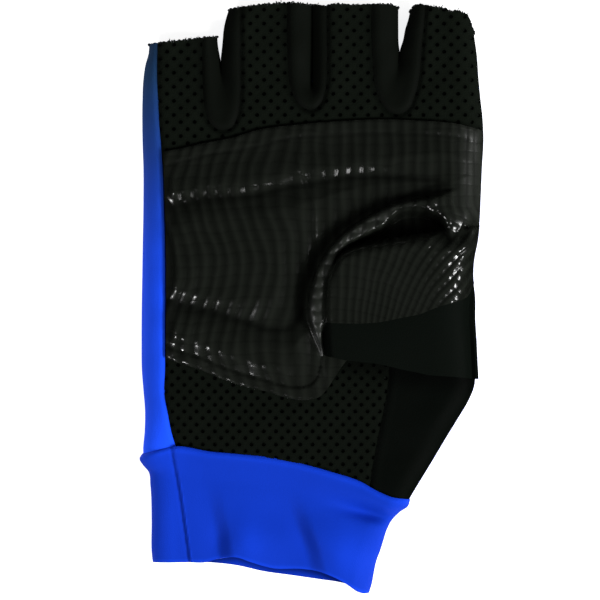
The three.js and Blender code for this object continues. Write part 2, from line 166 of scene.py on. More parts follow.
# The ridge where the leather folds over the root of the thumb, and the pocket behind it, as (x, y)
RIDGE = [
    (52.0, 36.6), (45.0, 34.8), (40.6, 33.3), (36.6, 32.1), (32.5, 31.5), (27.6, 30.5), (24.4, 29.5),
    (20.4, 27.7), (16.3, 25.4), (12.3, 22.8), (9.0, 20.4), (5.8, 17.0), (2.9, 13.0), (0.9, 9.0),
    (-0.8, 4.0), (-1.7, -1.5), (-1.4, -7.0), (0.4, -12.0), (2.6, -17.0), (4.4, -24.0),
]
POCKET = [
    (4.6, -26.0), (4.0, -19.0), (3.3, -10.0), (3.3, -2.0), (3.9, 5.0), (6.0, 10.4), (10.2, 15.9),
    (13.1, 17.7), (16.3, 19.3), (20.4, 21.2), (23.6, 23.2), (26.0, 25.6), (28.6, 26.9), (32.5, 27.2),
    (36.6, 26.7), (39.4, 25.3), (41.4, 23.3), (42.7, 20.9), (43.2, 15.0), (44.0, 0.0),
]
POCKET_END = 43.0  # x of the pocket's thumb-side end
BRIDGE_Y = 23.5  # on the thumb side the two leathers meet here
WRINKLE = [(-4.5, 45.0), (-3.6, 42.0), (-1.7, 35.7), (0.8, 29.9), (1.2, 20.0)]

# The thumb sleeve that lies over the palm: its sides as (y, x), and its fold, hem and mouth as (x, y)
THUMB_LEFT = [
    (-30.0, 4.6), (-21.3, 4.4), (-18.1, 4.0), (-10.1, 3.3), (-0.5, 3.3), (5.9, 4.0), (10.7, 6.0),
    (13.3, 7.9), (15.5, 10.2), (18.7, 12.4), (23.5, 13.4), (30.0, 14.0),
]
THUMB_RIGHT = [
    (-29.3, 53.0), (-26.1, 53.0), (-19.7, 52.7), (-13.3, 52.4), (-6.9, 52.0), (1.1, 51.9), (4.3, 51.5),
    (7.5, 51.3), (12.3, 51.6), (18.7, 52.8), (25.1, 53.4), (31.5, 53.7),
]
THUMB_TOP = [(2.0, 14.6), (11.1, 16.0), (15.2, 17.1), (20.7, 18.1), (31.2, 19.7), (37.6, 20.6), (46.0, 21.8)]
THUMB_MOUTH = [
    (2.0, -17.9), (4.0, -18.1), (9.8, -19.4), (20.7, -20.6), (29.0, -22.6), (37.6, -24.2), (46.3, -24.8),
    (51.7, -25.6), (55.0, -25.8),
]
THUMB_HEM = [
    (1.0, -7.4), (7.9, -7.8), (20.7, -7.5), (29.0, -5.9), (33.5, -5.0), (40.2, -2.4), (44.0, -1.4),
    (49.5, 1.1), (51.5, 5.0), (54.6, 7.6),
]

# The cuff, as (x, y)
CUFF_JOINT = [
    (-54.2, -49.4), (-49.4, -48.2), (-43.4, -46.9), (-32.8, -48.5), (-23.2, -49.4), (-13.6, -50.4),
    (-4.0, -52.3), (5.6, -54.9), (15.2, -58.1), (21.0, -61.3), (24.8, -62.9), (31.2, -64.0),
]
CUFF_HEM = [
    (-51.0, -84.0), (-38.8, -83.8), (-34.0, -83.8), (-30.2, -82.7), (-24.1, -82.1), (-19.3, -83.7),
    (-12.6, -85.6), (-3.3, -85.9), (2.8, -86.9), (8.2, -89.1), (12.0, -91.4), (16.2, -93.8), (18.1, -93.8),
]
CUFF_BACK_HEM = [
    (-51.0, -84.0), (-38.8, -84.2), (-34.0, -84.3), (-24.1, -85.3), (-15.5, -87.2), (-6.2, -88.5),
    (2.8, -89.8), (8.8, -90.7), (11.4, -91.4), (14.0, -93.0), (16.2, -93.9), (18.1, -93.8),
]
CUFF_LEFT = [
    (-54.2, -49.4), (-55.2, -51.0), (-54.0, -53.2), (-52.3, -55.2), (-51.7, -59.7), (-51.3, -70.9),
    (-51.3, -80.5), (-51.0, -84.0),
]
CUFF_RIGHT = [
    (31.2, -64.0), (30.6, -66.1), (28.0, -68.0), (25.2, -70.9), (23.6, -74.1), (22.6, -77.3),
    (21.6, -80.5), (20.4, -83.7), (19.7, -86.9), (19.0, -90.7), (18.1, -93.8),
]
CUFF_SEAM = [(-44.8, -44.0), (-44.3, -47.8), (-42.0, -61.3), (-40.4, -72.5), (-38.8, -84.0), (-38.3, -88.0)]

# Height of the palm side along the glove, as (y, z)
PALM_HEIGHT = [
    (-66.0, 8.2), (-48.0, 9.0), (-39.0, 9.8), (-30.0, 10.3), (-12.0, 10.8), (16.0, 10.8), (30.0, 10.6),
    (46.0, 10.0), (56.0, 9.6), (66.0, 9.2), (80.0, 8.8), (94.0, 8.2),
]


def spline(table, v):
    """Smooth values at v through the (v, value) pairs of a table."""
    knots, values = np.array(table, float).T
    v = np.clip(v, knots[0], knots[-1])
    i = np.clip(np.searchsorted(knots, v) - 1, 0, len(knots) - 2)
    step = knots[i + 1] - knots[i]
    t = (v - knots[i]) / step
    slopes = np.gradient(values, knots)
    rise = (3 - 2 * t) * t * t
    bend = step * t * (1 - t) * (slopes[i] * (1 - t) - slopes[i + 1] * t)
    return values[i] * (1 - rise) + values[i + 1] * rise + bend


def straight(table, v):
    """Values at v on straight lines through the (v, value) pairs of a table."""
    knots, values = np.array(table, float).T
    return np.interp(v, knots, values)


def drawn(points, step=1.0):
    """A smooth line through points, with a point about every step."""
    p = np.array(points, float)
    along = np.concatenate([[0], np.cumsum(np.linalg.norm(np.diff(p, axis=0), axis=1))])
    v = np.linspace(0, along[-1], max(2, round(along[-1] / step)))
    return np.stack([spline(np.stack([along, p[:, k]], 1), v) for k in range(p.shape[1])], 1)


def beside(x, y, line):
    """Distance from a line, positive on the left of its direction and negative on its right."""
    flat = np.stack([np.ravel(x), np.ravel(y)], 1)
    nearest = np.full(len(flat), np.inf)
    signed = np.zeros(len(flat))
    for start, step in zip(line[:-1], np.diff(line, axis=0)):
        from_start = flat - start
        share = np.clip(from_start @ step / (step @ step), 0, 1)
        off = from_start - share[:, None] * step
        gap = np.hypot(off[:, 0], off[:, 1])
        nearer = gap < nearest - 1e-9
        turn = step[0] * from_start[:, 1] - step[1] * from_start[:, 0]
        signed = np.where(nearer, np.where(turn >= 0, gap, -gap), signed)
        nearest = np.where(nearer, gap, nearest)
    return signed.reshape(np.shape(x))


def smoothstep(low, high, v):
    """From 0 at low to 1 at high, level at both."""
    t = np.clip((v - low) / (high - low), 0, 1)
    return t * t * (3 - 2 * t)


def rolled(d, roll):
    """How far cloth has come over a rolled edge, from 0 on the edge to 1 a roll's width from it."""
    return np.sqrt(np.maximum(0, 1 - np.clip(1 - d / roll, 0, 1) ** 2))


def groove(d, width):
    """1 where d is 0, falling to nothing about two widths away."""
    return np.exp(-((d / width) ** 2))


def ripples(x, y, scale, seed, count=7):
    """Soft uneven waves between about -1 and 1, some scale long."""
    rng = np.random.default_rng(seed)
    total = np.zeros(np.shape(x))
    for _ in range(count):
        turn, phase = rng.uniform(0, 2 * math.pi, 2)
        length = scale * rng.uniform(0.7, 1.6)
        total += np.sin((x * math.cos(turn) + y * math.sin(turn)) * 2 * math.pi / length + phase)
    return total / math.sqrt(count)


LINES = {
    "side": drawn(SIDE_SEAM),
    "gusset": drawn(GUSSET_SEAM),
    "top": drawn(PATCH_TOP),
    "band": drawn(PATCH_BAND),
    "bottom": drawn(PATCH_BOTTOM),
    "bottom_band": drawn(BOTTOM_BAND),
    "groove_1": drawn(GROOVE_1),
    "groove_2": drawn(GROOVE_2),
    "ridge": drawn(RIDGE),
    "pocket": drawn(POCKET),
    "thumb_top": drawn(THUMB_TOP),
    "thumb_hem": drawn(THUMB_HEM),
    "mouth": drawn(THUMB_MOUTH),
    "wrinkle": drawn(WRINKLE),
    "cuff_seam": drawn(CUFF_SEAM),
}
FORK_LINES = [drawn(line) for line in FORK_SEAMS]
QUILTING = ("band", "bottom_band", "groove_1", "groove_2")


def hand_sides(y):
    """The x of the hand's two outer sides at y."""
    return spline(HAND_LEFT, y), spline(HAND_RIGHT, y)


def crease_share(crease):
    """Where a crease meets the line of the finger roots, as a share of the hand's width."""
    left, right = hand_sides(np.array([ROOT_Y]))
    return ((CREASES[crease][0][0][1] - left) / (right - left))[0]


def strip_sides(finger, y):
    """The x of a finger's two sides at y, carried on down the hand."""
    left, right = hand_sides(y)
    sides = []
    for crease, side in ((finger - 1, 1), (finger, 0)):
        if crease < 0:
            sides.append(left)
        elif crease > 2:
            sides.append(right)
        else:
            below = left + crease_share(crease) * (right - left)
            sides.append(np.where(y > ROOT_Y, spline(CREASES[crease][side], y), below))
    return sides


def shares(width, step, roll):
    """Shares of a strip's width, closer together where it rolls over at its two edges."""
    turns = np.linspace(0, math.pi / 2, math.ceil(roll * 1.5 / step) + 1)
    edge = roll * (1 - np.cos(turns))
    middle = np.linspace(roll, width - roll, max(1, round((width - 2 * roll) / step)) + 1)
    return np.concatenate([edge[:-1], middle, (width - edge)[::-1][1:]]) / width


def strip_grid(finger, step, start=None):
    """Plan positions of one finger's strip, from the cuff to the finger's open end.
    The rows of neighbouring strips meet up to the fork."""
    width = np.diff(strip_sides(finger, np.array([ROOT_Y])), axis=0)[0, 0]
    share = shares(width, step, 7.0)

    def x_at(y):
        left, right = strip_sides(finger, y)
        return left + share * (right - left)

    def meeting(table, y, drop=0.0):
        for _ in range(MEETING_TURNS):
            y = 0.5 * y + 0.5 * (straight(table, x_at(y)) - drop)
        return y

    wrist, fork, tip = (np.full(len(share), y) for y in SECTION_ENDS)
    wrist = meeting(CUFF_JOINT, wrist, LAP)
    root = np.full(len(share), ROOT_Y)
    fork = meeting(FORK_LINE, fork)
    tip = meeting(FINGER_ENDS[finger], tip)
    sections = [(wrist, root), (root, fork), (fork, tip)]
    lengths = list(SECTION_LENGTHS)
    if start is not None:
        sections[0] = (np.full(len(share), start), root)
        lengths[0] = ROOT_Y - start
    rows = []
    for n, (low, high) in enumerate(sections):
        count = max(2, round(lengths[n] / step))
        for v in np.linspace(0, 1, count + 1)[1 if n else 0:]:
            rows.append(low + (high - low) * v)
    y = np.array(rows)
    x = np.array([x_at(row) for row in rows])
    return x, y


def sink(crease, y, sharp=0.0):
    """How far the crease between two fingers has sunk at y, from 0 at its start to 1 at the fork."""
    start = CREASE_START[crease] if not sharp else FORK_Y[crease] - sharp
    return smoothstep(start, FORK_Y[crease], y)


def roundness(finger, x, y, outer_roll, inner_roll, sharp=0.0):
    """How far the cloth has come over the edges of a finger's strip, and over the hand's edges below it."""
    hand_left, hand_right = hand_sides(y)
    left, right = strip_sides(finger, y)
    over = np.ones(np.shape(x))
    for crease, d, outer in ((finger - 1, x - left, x - hand_left), (finger, right - x, hand_right - x)):
        if 0 <= crease <= 2:
            sunk = sink(crease, y, sharp)
            over = over * (1 - sunk * (1 - rolled(np.hypot(d, 3.0 * (1 - sunk)), inner_roll)))
            over = over * rolled(np.maximum(outer, 0), outer_roll)
        else:
            over = over * rolled(np.maximum(d, 0), outer_roll)
    return over


def palm_height(finger, x, y):
    """Height of the palm side's outer face, without the leather."""
    over = roundness(finger, x, y, OUTER_ROLL, PALM_ROLL)
    top = spline(PALM_HEIGHT, y)
    left, right = strip_sides(finger, y)
    across = np.clip((x - left) / (right - left), 0, 1)
    dip = smoothstep(56, 78, y) * 0.5 * groove(across - 0.5, 0.22)
    soft = 0.28 * ripples(x, y, 34, 3) + 0.10 * ripples(x, y, 12, 5)
    z = EQUATOR + (top - dip + soft - EQUATOR) * over
    seams = 0.6 * groove(beside(x, y, LINES["side"]), 0.8)
    for line in FORK_LINES:
        d = beside(x, y, line)
        seams = seams + 0.55 * groove(d, 0.7) - 0.35 * groove(d - 2.2, 1.6)
    gusset = beside(x, y, LINES["gusset"])
    seams = seams + np.where(y < 4, 0.55 * groove(gusset, 0.7) - 0.2 * groove(gusset - 1.6, 1.2), 0)
    return z - seams * over


def back_height(finger, x, y):
    """Height of the back's outer face, on the side that the glove lies on."""
    over = roundness(finger, x, y, OUTER_ROLL, BACK_ROLL, sharp=7.0)
    return EQUATOR * (1 - over) + 0.9 * smoothstep(-38, -50, y) * over


def hand_height(x, y):
    """Height of the palm side's outer face below the finger roots, at any place."""
    z = np.zeros(np.shape(x))
    for finger in range(4):
        left, right = strip_sides(finger, y)
        here = (x >= left) if finger else np.ones(np.shape(x), bool)
        z = np.where(here, palm_height(finger, np.clip(x, left, right), y), z)
    return z


def cloth_painted_shade(x, y):
    """Painted shade on the black cloth: darker just beyond the leather's top edge, in the fork and gusset
    seams and under the thumb's mouth, where shade falls.
    """
    # painted shade on the cloth just beyond the leather's raised top edge
    tone = 1 - 0.35 * groove(np.maximum(beside(x, y, LINES["top"]), 0), 0.9)
    # painted shade in the fork seams
    for line in FORK_LINES:
        tone = tone * (1 - 0.5 * groove(beside(x, y, line) + 0.5, 1.0))
    # painted shade in the gusset seam
    gusset = beside(x, y, LINES["gusset"])
    tone = tone * np.where(y < 4, 1 - 0.2 * groove(gusset, 1.0), 1)
    # painted shade under the thumb's mouth
    under = -beside(x, y, LINES["mouth"])
    return tone * (1 - 0.6 * smoothstep(8, 0, under) * smoothstep(-20, -10, under) * smoothstep(-1, 4, x))


def pad_rise(x, y):
    """Share of the foam's full height under the leather, between its quilting lines and edges."""
    above = {name: beside(x, y, LINES[name]) for name in QUILTING}
    slopes = {"band": (9, 0.5), "bottom_band": (1.0, 9), "groove_1": (1.05, 0.75), "groove_2": (1.0, 0.8)}
    near = np.full(np.shape(x), 30.0)
    by_ridge = 1 - 0.70 * smoothstep(-36, -4, x)
    for name, (over, under) in slopes.items():
        over = over * by_ridge if name == "groove_2" else over
        over = over * (1 - 0.6 * smoothstep(-14, -3, x)) if name == "bottom_band" else over
        near = np.minimum(near, np.where(above[name] > 0, above[name] * over, -above[name] * under))
    pad = 0.82 * smoothstep(0, 5.2, near) + 0.18 * smoothstep(0, 15, near)
    border = (above["band"] > 0) | ((above["bottom_band"] < 0) & (y < -8) & (x < 12))
    pad = np.where(border, 0.22 * smoothstep(0, 1.6, np.minimum(np.abs(above["band"]), 2)), pad)
    thumb_side = smoothstep(35, 46, x) * smoothstep(47, 35, y)
    pad = pad + (0.12 - pad) * thumb_side
    pad = pad * smoothstep(0.2, 4.0, beside(x, y, LINES["side"]))
    return pad * smoothstep(0, 12, hand_sides(y)[1] - x)


def leather_height(x, y, hollow=True):
    """Height of the leather's outer face: padded between its quilting lines, with the ridge round the thumb
    and, where hollow, the pocket behind it."""
    leather = bpy.context.scene.glove.leather
    z = hand_height(x, y) + leather.thickness / MM
    border = np.minimum(-beside(x, y, LINES["top"]), 9)
    border = np.minimum(border, beside(x, y, LINES["bottom"]))
    corner = smoothstep(-1, 3, x) * smoothstep(-14, -18, y)
    z = z - 0.5 * (1 - corner) * (1 - smoothstep(0, 0.5, border))
    ridge = beside(x, y, LINES["ridge"])
    pocket = beside(x, y, LINES["pocket"])
    fade = smoothstep(47, 38, x) * smoothstep(-23, -3, y)
    slit = smoothstep(6.5, 9.5, x)
    fallen = 1 - rolled(np.maximum(pocket, 0), 1.3 + 1.1 * smoothstep(22, 28, x))
    behind = 1 - np.maximum(slit, smoothstep(-6, -14, y)) * fallen
    fold = leather.ridge_rise / MM * rolled(np.maximum(ridge, 0), 1.5) * behind
    outside = smoothstep(0.5, -1.0, ridge) + smoothstep(38, 46.5, x) + smoothstep(-17, -22, y)
    outside = np.clip(outside, 0, 1)
    inside = smoothstep(0.4, -1.3, pocket) * smoothstep(POCKET_END + 0.4, POCKET_END - 3.0, x)
    inside = inside * slit * hollow * smoothstep(-14, -6, y)
    z = z + leather.pad_rise / MM * pad_rise(x, y) * outside + fold * fade
    valley = leather.valley / MM * (1 - 0.6 * smoothstep(20, 34, x))
    z = z - valley * groove(ridge + 0.6, 3.4) * fade * smoothstep(0.8, -0.4, ridge)
    z = z + 0.30 * groove(beside(x, y, LINES["wrinkle"]) + 0.5, 0.6) * smoothstep(0, 3, -ridge)
    shoulder = 2.6 * groove(np.hypot((x - 46.0) / 8.0, (y - 24.0) / 9.0), 1.0) * smoothstep(39, 44, x)
    return z - leather.pocket / MM * inside + shoulder * smoothstep(0, 5, hand_sides(y)[1] - x)


def leather_painted_shading(x, y, on_thumb=False):
    """Painted light and shade on the leather: painted shade in its quilting grooves, seam bands and pocket,
    a painted shadow in the valley beside the ridge, painted light on the ridge and a painted reflection on
    the thumb side's upper border.
    """
    # painted reflection: lighter on the thumb side's upper border, where the leather curls down
    border = 0.55 * smoothstep(41, 49, x) * smoothstep(21, 28, y)
    if on_thumb:
        return 1 + border
    band, bottom_band, groove_1, groove_2 = (np.abs(beside(x, y, LINES[name])) for name in QUILTING)
    ridge = beside(x, y, LINES["ridge"])
    pocket = beside(x, y, LINES["pocket"])
    by_ridge = smoothstep(47, 38, x) * smoothstep(-20, -4, y)
    # painted shade in the quilting grooves and along the seam bands
    quilted = groove(np.minimum(groove_1, groove_2), 1.3 + 0.9 * smoothstep(-15, -35, x))
    painted_shading = 1 - 0.5 * quilted - 0.3 * groove(np.minimum(band, bottom_band), 0.7)
    # painted shadow in the valley beside the ridge
    shade = (0.50 - 0.34 * smoothstep(20, 34, x)) * smoothstep(-9, 0, ridge)
    shade = shade + 0.12 * groove(np.minimum(ridge, 0), 1.6)
    painted_shading = painted_shading * (1 - by_ridge * shade * smoothstep(0.0, -0.8, ridge))
    # painted light on the ridge's top
    on_ridge = smoothstep(-1.8, -0.3, ridge) * smoothstep(-0.2, 0.8, pocket) * smoothstep(36, 26, x)
    painted_shading = painted_shading + 0.5 * smoothstep(47, 38, x) * smoothstep(-32, -18, y) * on_ridge
    # painted shade inside the pocket
    wall = 1.3 * smoothstep(22, 28, x)
    inside = smoothstep(1.6 + wall, 0.6 + wall, pocket) * smoothstep(POCKET_END + 0.8, POCKET_END - 1.5, x)
    inside = inside * smoothstep(9.0, 15.0, x) * smoothstep(-14, -6, y)
    return (painted_shading + border) * (1 - 0.40 * inside)


def thumb_height(x, y):
    """Height of the thumb sleeve's upper face, over the leather on it."""
    thumb = bpy.context.scene.glove.thumb
    left, right = spline(THUMB_LEFT, y), spline(THUMB_RIGHT, y)
    hand_right = hand_sides(y)[1]
    floor = hand_height(np.minimum(x, hand_right - HAND_EDGE), y) + 1.5
    floor = floor + (EQUATOR + 0.8 - floor) * smoothstep(hand_right - 3, hand_right, x)
    top = thumb.rise / MM + 0.04 * (y - 5) - 0.02 * np.abs(x - 26) + 0.35 * ripples(x, y, 24, 11)
    down = -beside(x, y, LINES["thumb_top"])
    over_top = rolled(np.maximum(down, 0), 4.0)
    over_top = over_top + (1 - over_top) * smoothstep(41.5, 45.5, x)
    outward = right - x + 0.22 * np.clip(y - 6, -8, 16)
    over = rolled(np.maximum(x - left, 0), 3.4) * rolled(np.maximum(right - x, 0), 5.0) * over_top
    over = over * rolled(np.maximum(outward, 0), 14.0)
    return floor + (top - floor) * over


def bridged_height(x, y):
    """The thumb's leather, which runs on into the palm's leather past the pocket's end."""
    above_edge = beside(x, y, LINES["thumb_top"])
    share = smoothstep(-6.5, -0.4, above_edge) * smoothstep(POCKET_END - 7, POCKET_END + 1, x)
    share = np.maximum(share, smoothstep(-0.1, 0.4, above_edge))
    over_thumb = thumb_height(x, y)
    return over_thumb + (leather_height(x, y, hollow=False) - over_thumb) * share


def climbed(low, high, v):
    """What a smooth step from 0 to 1 adds up to along v."""
    t = np.clip((v - low) / (high - low), 0, 1)
    return (high - low) * (t ** 3 - 0.5 * t ** 4) + np.maximum(v - high, 0)


def emboss(x, y, on_thumb):
    """Place on the leather's embossed lattice. It bends over the pads, leans over on the thumb and stands on
    its corners at the thumb's outer side."""
    low = BRIDGE_Y - y
    near = smoothstep(-7, 2, low) * (1 if on_thumb else smoothstep(36, 43, x))
    arc = 2.9 * (1 - np.cos((y - 10) * 2 * math.pi / 50)) * smoothstep(6, -22, x)
    border = climbed(36, 46, x) * (1 - near)
    p = 0.78 * (x + arc) + 0.72 * smoothstep(4, 42, x) * near * low + 0.3 * border
    q = 0.82 * y + 0.72 * (climbed(4, 42, x) - climbed(4, 42, 48.0)) * near
    p = p + 0.22 * ripples(x, y, 11, 31)
    q = q + 0.25 * ripples(x, y, 13, 33) + 0.5 * np.sin(x / 9)
    return p, q


def outer_side(x, y):
    """1 on the thumb's outer side, where the lattice stands on its corners, and 0 away from it."""
    return smoothstep(17, 9, np.hypot(x - 46.5, 0.8 * (y - 9)))


def pillow(p, q, leather, even):
    """Height of the embossing, from 0 in its grooves to 1 on its cells. Where even is 1, the grooves are as
    deep along as across."""
    across = np.abs(np.sin(np.pi * p / (leather.cell_width / MM)))
    along = np.abs(np.sin(np.pi * q / (leather.cell_height / MM)))
    shallow = 0.45 * (1 - even)
    return across ** 0.8 * (shallow + (1 - shallow) * along ** 0.8)


def quads(rows, columns, flip=False, first=0):
    """Faces of a grid of points, counted from first."""
    r, c = np.meshgrid(np.arange(rows - 1), np.arange(columns - 1), indexing="ij")
    a = (r * columns + c).ravel() + first
    faces = np.stack([a, a + 1, a + 1 + columns, a + columns], 1)
    return faces[:, ::-1] if flip else faces


class Cloth:
    """Points with their place in the pattern and their painted light and shade, and the faces between them.
    """

    def __init__(self):
        self.points = np.zeros((0, 6))
        self.faces = []

    def add_grid(self, x, y, z, pattern=None, painted_shading=None, flip=False):
        """Adds rows of points and the faces between them."""
        p, q = pattern if pattern else (x, y)
        # each point's painted shading: painted shade below 1, painted light above 1
        painted_shading = np.ones(np.shape(x)) if painted_shading is None else painted_shading
        first = len(self.points)
        block = np.stack([np.ravel(v) for v in (x, y, z, p, q, painted_shading)], 1)
        self.points = np.concatenate([self.points, block])
        self.faces += quads(*np.shape(x), flip=flip, first=first).tolist()

    def trim(self, field):
        """Keeps what lies where the field is positive, and cuts the faces that it passes through."""
        points, added, made = self.points, [], {}
        keep = (field > 0).tolist()
        values = field.tolist()

        def crossing(a, b):
            key = (a, b) if a < b else (b, a)
            if key not in made:
                share = values[key[0]] / (values[key[0]] - values[key[1]])
                share = min(0.98, max(0.02, share))
                added.append(points[key[0]] * (1 - share) + points[key[1]] * share)
                made[key] = len(points) + len(added) - 1
            return made[key]

        faces = []
        for face in self.faces:
            kept = sum(keep[i] for i in face)
            if kept == len(face):
                faces.append(face)
            elif kept:
                cut = []
                for a, b in zip(face, face[1:] + face[:1]):
                    if keep[a]:
                        cut.append(a)
                    if keep[a] != keep[b]:
                        cut.append(crossing(a, b))
                if len(cut) > 2:
                    faces.append(cut)
        self.faces = faces
        if added:
            self.points = np.concatenate([points, np.array(added)])

    def trim_by(self, *fields):
        """Trims by functions of the place, one after the other."""
        for field in fields:
            self.trim(field(self.points[:, 0], self.points[:, 1]))
        return self

    def drop_unused(self):
        """Leaves out the points that no face has."""
        used = np.unique([i for face in self.faces for i in face])
        place = np.zeros(len(self.points), int)
        place[used] = np.arange(len(used))
        place = place.tolist()
        self.points = self.points[used]
        self.faces = [[place[i] for i in face] for face in self.faces]

    def weld(self):
        """Joins points that lie in one place."""
        keys = np.round(self.points[:, :3] * WELD_STEPS).astype(np.int64)
        _, first, place = np.unique(keys, axis=0, return_index=True, return_inverse=True)
        place = place.ravel().tolist()
        self.points = self.points[first]
        faces = []
        for face in self.faces:
            mapped = [place[i] for i in face]
            clean = [i for n, i in enumerate(mapped) if i != mapped[n - 1]]
            if len(set(clean)) > 2 and len(set(clean)) == len(clean):
                faces.append(clean)
        self.faces = faces
        return self


def mesh_object(name, cloth, material, thickness=0.0, bevel=0.0):
    """A shown object of the cloth, with its material and its thickness on the inner side."""
    cloth.drop_unused()
    mesh = bpy.data.meshes.new(name)
    mesh.from_pydata((cloth.points[:, :3] * MM).tolist(), [], cloth.faces)
    mesh.update()
    layer = mesh.uv_layers.new(name="cloth")
    corners = np.zeros(len(mesh.loops), np.int32)
    mesh.loops.foreach_get("vertex_index", corners)
    layer.data.foreach_set("uv", cloth.points[corners, 3:5].astype(np.float32).ravel())
    # the points' painted light and shade go to the materials as a point attribute
    painted_shading = mesh.attributes.new("painted_shading", "FLOAT", "POINT")
    painted_shading.data.foreach_set("value", cloth.points[:, 5].astype(np.float32))
    mesh.polygons.foreach_set("use_smooth", np.ones(len(mesh.polygons), bool))
    mesh.materials.append(material)
    edges = np.zeros(len(mesh.loops), np.int32)
    mesh.loops.foreach_get("edge_index", edges)
    cut = np.bincount(edges, minlength=len(mesh.edges)) == 1
    mesh.edges.foreach_set("use_edge_sharp", cut)
    piece = bpy.data.objects.new(name, mesh)
    bpy.context.collection.objects.link(piece)
    if thickness:
        solid = piece.modifiers.new("Thickness", "SOLIDIFY")
        solid.thickness = thickness
        solid.offset = -1
        solid.use_even_offset = False
    if bevel:
        round_edge = piece.modifiers.new("Rounded edge", "BEVEL")
        round_edge.width = bevel
        round_edge.segments = 2
        round_edge.limit_method = "ANGLE"
        round_edge.angle_limit = math.radians(50)
    return piece


def keep_piece(piece, material_slot, *nodes):
    """Ties a piece to the part: it rides on the part's one body and stands for these CAD nodes."""
    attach(piece, "root")
    if nodes:
        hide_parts(*nodes)


def tube(cloth, path, radius, sides=6, closed=False):
    """Adds a thread along a path of points to the cloth."""
    path = np.array(path, float)
    radius = np.broadcast_to(radius, len(path))
    if closed:
        ahead, behind = np.roll(path, -1, 0), np.roll(path, 1, 0)
    else:
        ahead, behind = np.vstack([path[1:], path[-1:]]), np.vstack([path[:1], path[:-1]])
    along = ahead - behind
    along /= np.maximum(np.linalg.norm(along, axis=1), 1e-9)[:, None]
    up = np.where(np.abs(along[:, 2:3]) < 0.9, np.array([[0, 0, 1.0]]), np.array([[1.0, 0, 0]]))
    side = np.cross(along, up)
    side /= np.linalg.norm(side, axis=1)[:, None]
    other = np.cross(along, side)
    first, count = len(cloth.points), len(path)
    rings = []
    for k in range(sides):
        turn = 2 * math.pi * k / sides
        rings.append(path + (side * math.cos(turn) + other * math.sin(turn)) * radius[:, None])
    points = np.stack(rings, 1).reshape(-1, 3)
    block = np.hstack([points, points[:, :2], np.ones((len(points), 1))])
    cloth.points = np.concatenate([cloth.points, block])
    for i in range(count if closed else count - 1):
        j = (i + 1) % count
        for k in range(sides):
            n = (k + 1) % sides
            cloth.faces.append([first + i * sides + k, first + j * sides + k,
                                first + j * sides + n, first + i * sides + n])
    if not closed:
        cloth.faces.append([first + k for k in range(sides)])
        cloth.faces.append([first + (count - 1) * sides + k for k in reversed(range(sides))])


def new_material(name, colour, roughness, specular=0.5):
    """A material with its nodes cleared down to one shader and its output."""
    material = bpy.data.materials.new(name)
    material.use_nodes = True
    nodes, links = material.node_tree.nodes, material.node_tree.links
    nodes.clear()
    shader = nodes.new("ShaderNodeBsdfPrincipled")
    output = nodes.new("ShaderNodeOutputMaterial")
    links.new(shader.outputs["BSDF"], output.inputs["Surface"])
    shader.inputs["Base Color"].default_value = (*colour, 1)
    shader.inputs["Roughness"].default_value = roughness
    shader.inputs["Specular IOR Level"].default_value = specular
    return material, nodes, links, shader


def math_node(nodes, links, operation, *values, clamp=False):
    """A math node fed with sockets or numbers."""
    node = nodes.new("ShaderNodeMath")
    node.operation = operation
    node.use_clamp = clamp
    for n, value in enumerate(values):
        if isinstance(value, bpy.types.NodeSocket):
            links.new(value, node.inputs[n])
        else:
            node.inputs[n].default_value = value
    return node.outputs[0]


def noise_node(nodes, links, vector, scale, detail=2.0):
    """Noise between 0 and 1, with about scale spots to the metre."""
    node = nodes.new("ShaderNodeTexNoise")
    node.inputs["Scale"].default_value = scale
    node.inputs["Detail"].default_value = detail
    links.new(vector, node.inputs["Vector"])
    return node.outputs["Fac"]


def add_bump(nodes, links, shader, height, distance, strength=1.0):
    """Roughens the surface by a height."""
    bump = nodes.new("ShaderNodeBump")
    bump.inputs["Strength"].default_value = strength
    bump.inputs["Distance"].default_value = distance
    links.new(height, bump.inputs["Height"])
    links.new(bump.outputs["Normal"], shader.inputs["Normal"])


def ramp_node(nodes, links, value, stops):
    """The colour for a value, between stops of (value, colour)."""
    ramp = nodes.new("ShaderNodeValToRGB")
    ramp.color_ramp.elements[0].position = stops[0][0]
    ramp.color_ramp.elements[0].color = (*stops[0][1], 1)
    ramp.color_ramp.elements[1].position = stops[-1][0]
    ramp.color_ramp.elements[1].color = (*stops[-1][1], 1)
    for place, colour in stops[1:-1]:
        ramp.color_ramp.elements.new(place).color = (*colour, 1)
    links.new(value, ramp.inputs["Fac"])
    return ramp.outputs["Color"]


def pattern_axes(nodes, links):
    """The two directions of the cloth's pattern, in millimetres."""
    uv = nodes.new("ShaderNodeUVMap")
    uv.uv_map = "cloth"
    split = nodes.new("ShaderNodeSeparateXYZ")
    links.new(uv.outputs["UV"], split.inputs["Vector"])
    return split.outputs["X"], split.outputs["Y"]


def cell_wave(nodes, links, value, period):
    """From 0 at each period to 1 between them."""
    turn = math_node(nodes, links, "MULTIPLY", value, math.pi / period)
    return math_node(nodes, links, "ABSOLUTE", math_node(nodes, links, "SINE", turn))


def place_node(nodes):
    """Place on the object, in metres."""
    return nodes.new("ShaderNodeTexCoord").outputs["Object"]


def painted_shading_node(nodes):
    """The painted light and shade that the cloth's points carry."""
    painted_shading = nodes.new("ShaderNodeAttribute")
    painted_shading.attribute_name = "painted_shading"
    return painted_shading.outputs["Fac"]


def toned(nodes, links, colour, shader):
    """Colours the shader by the painted light and shade that the cloth's points carry: black at 0, the
    colour at 1, lighter above it.
    """
    half = math_node(nodes, links, "MULTIPLY", painted_shading_node(nodes), 0.5)
    stops = [(0.0, (0, 0, 0)), (1.0, [2 * v for v in colour])]
    links.new(ramp_node(nodes, links, half, stops), shader.inputs["Base Color"])


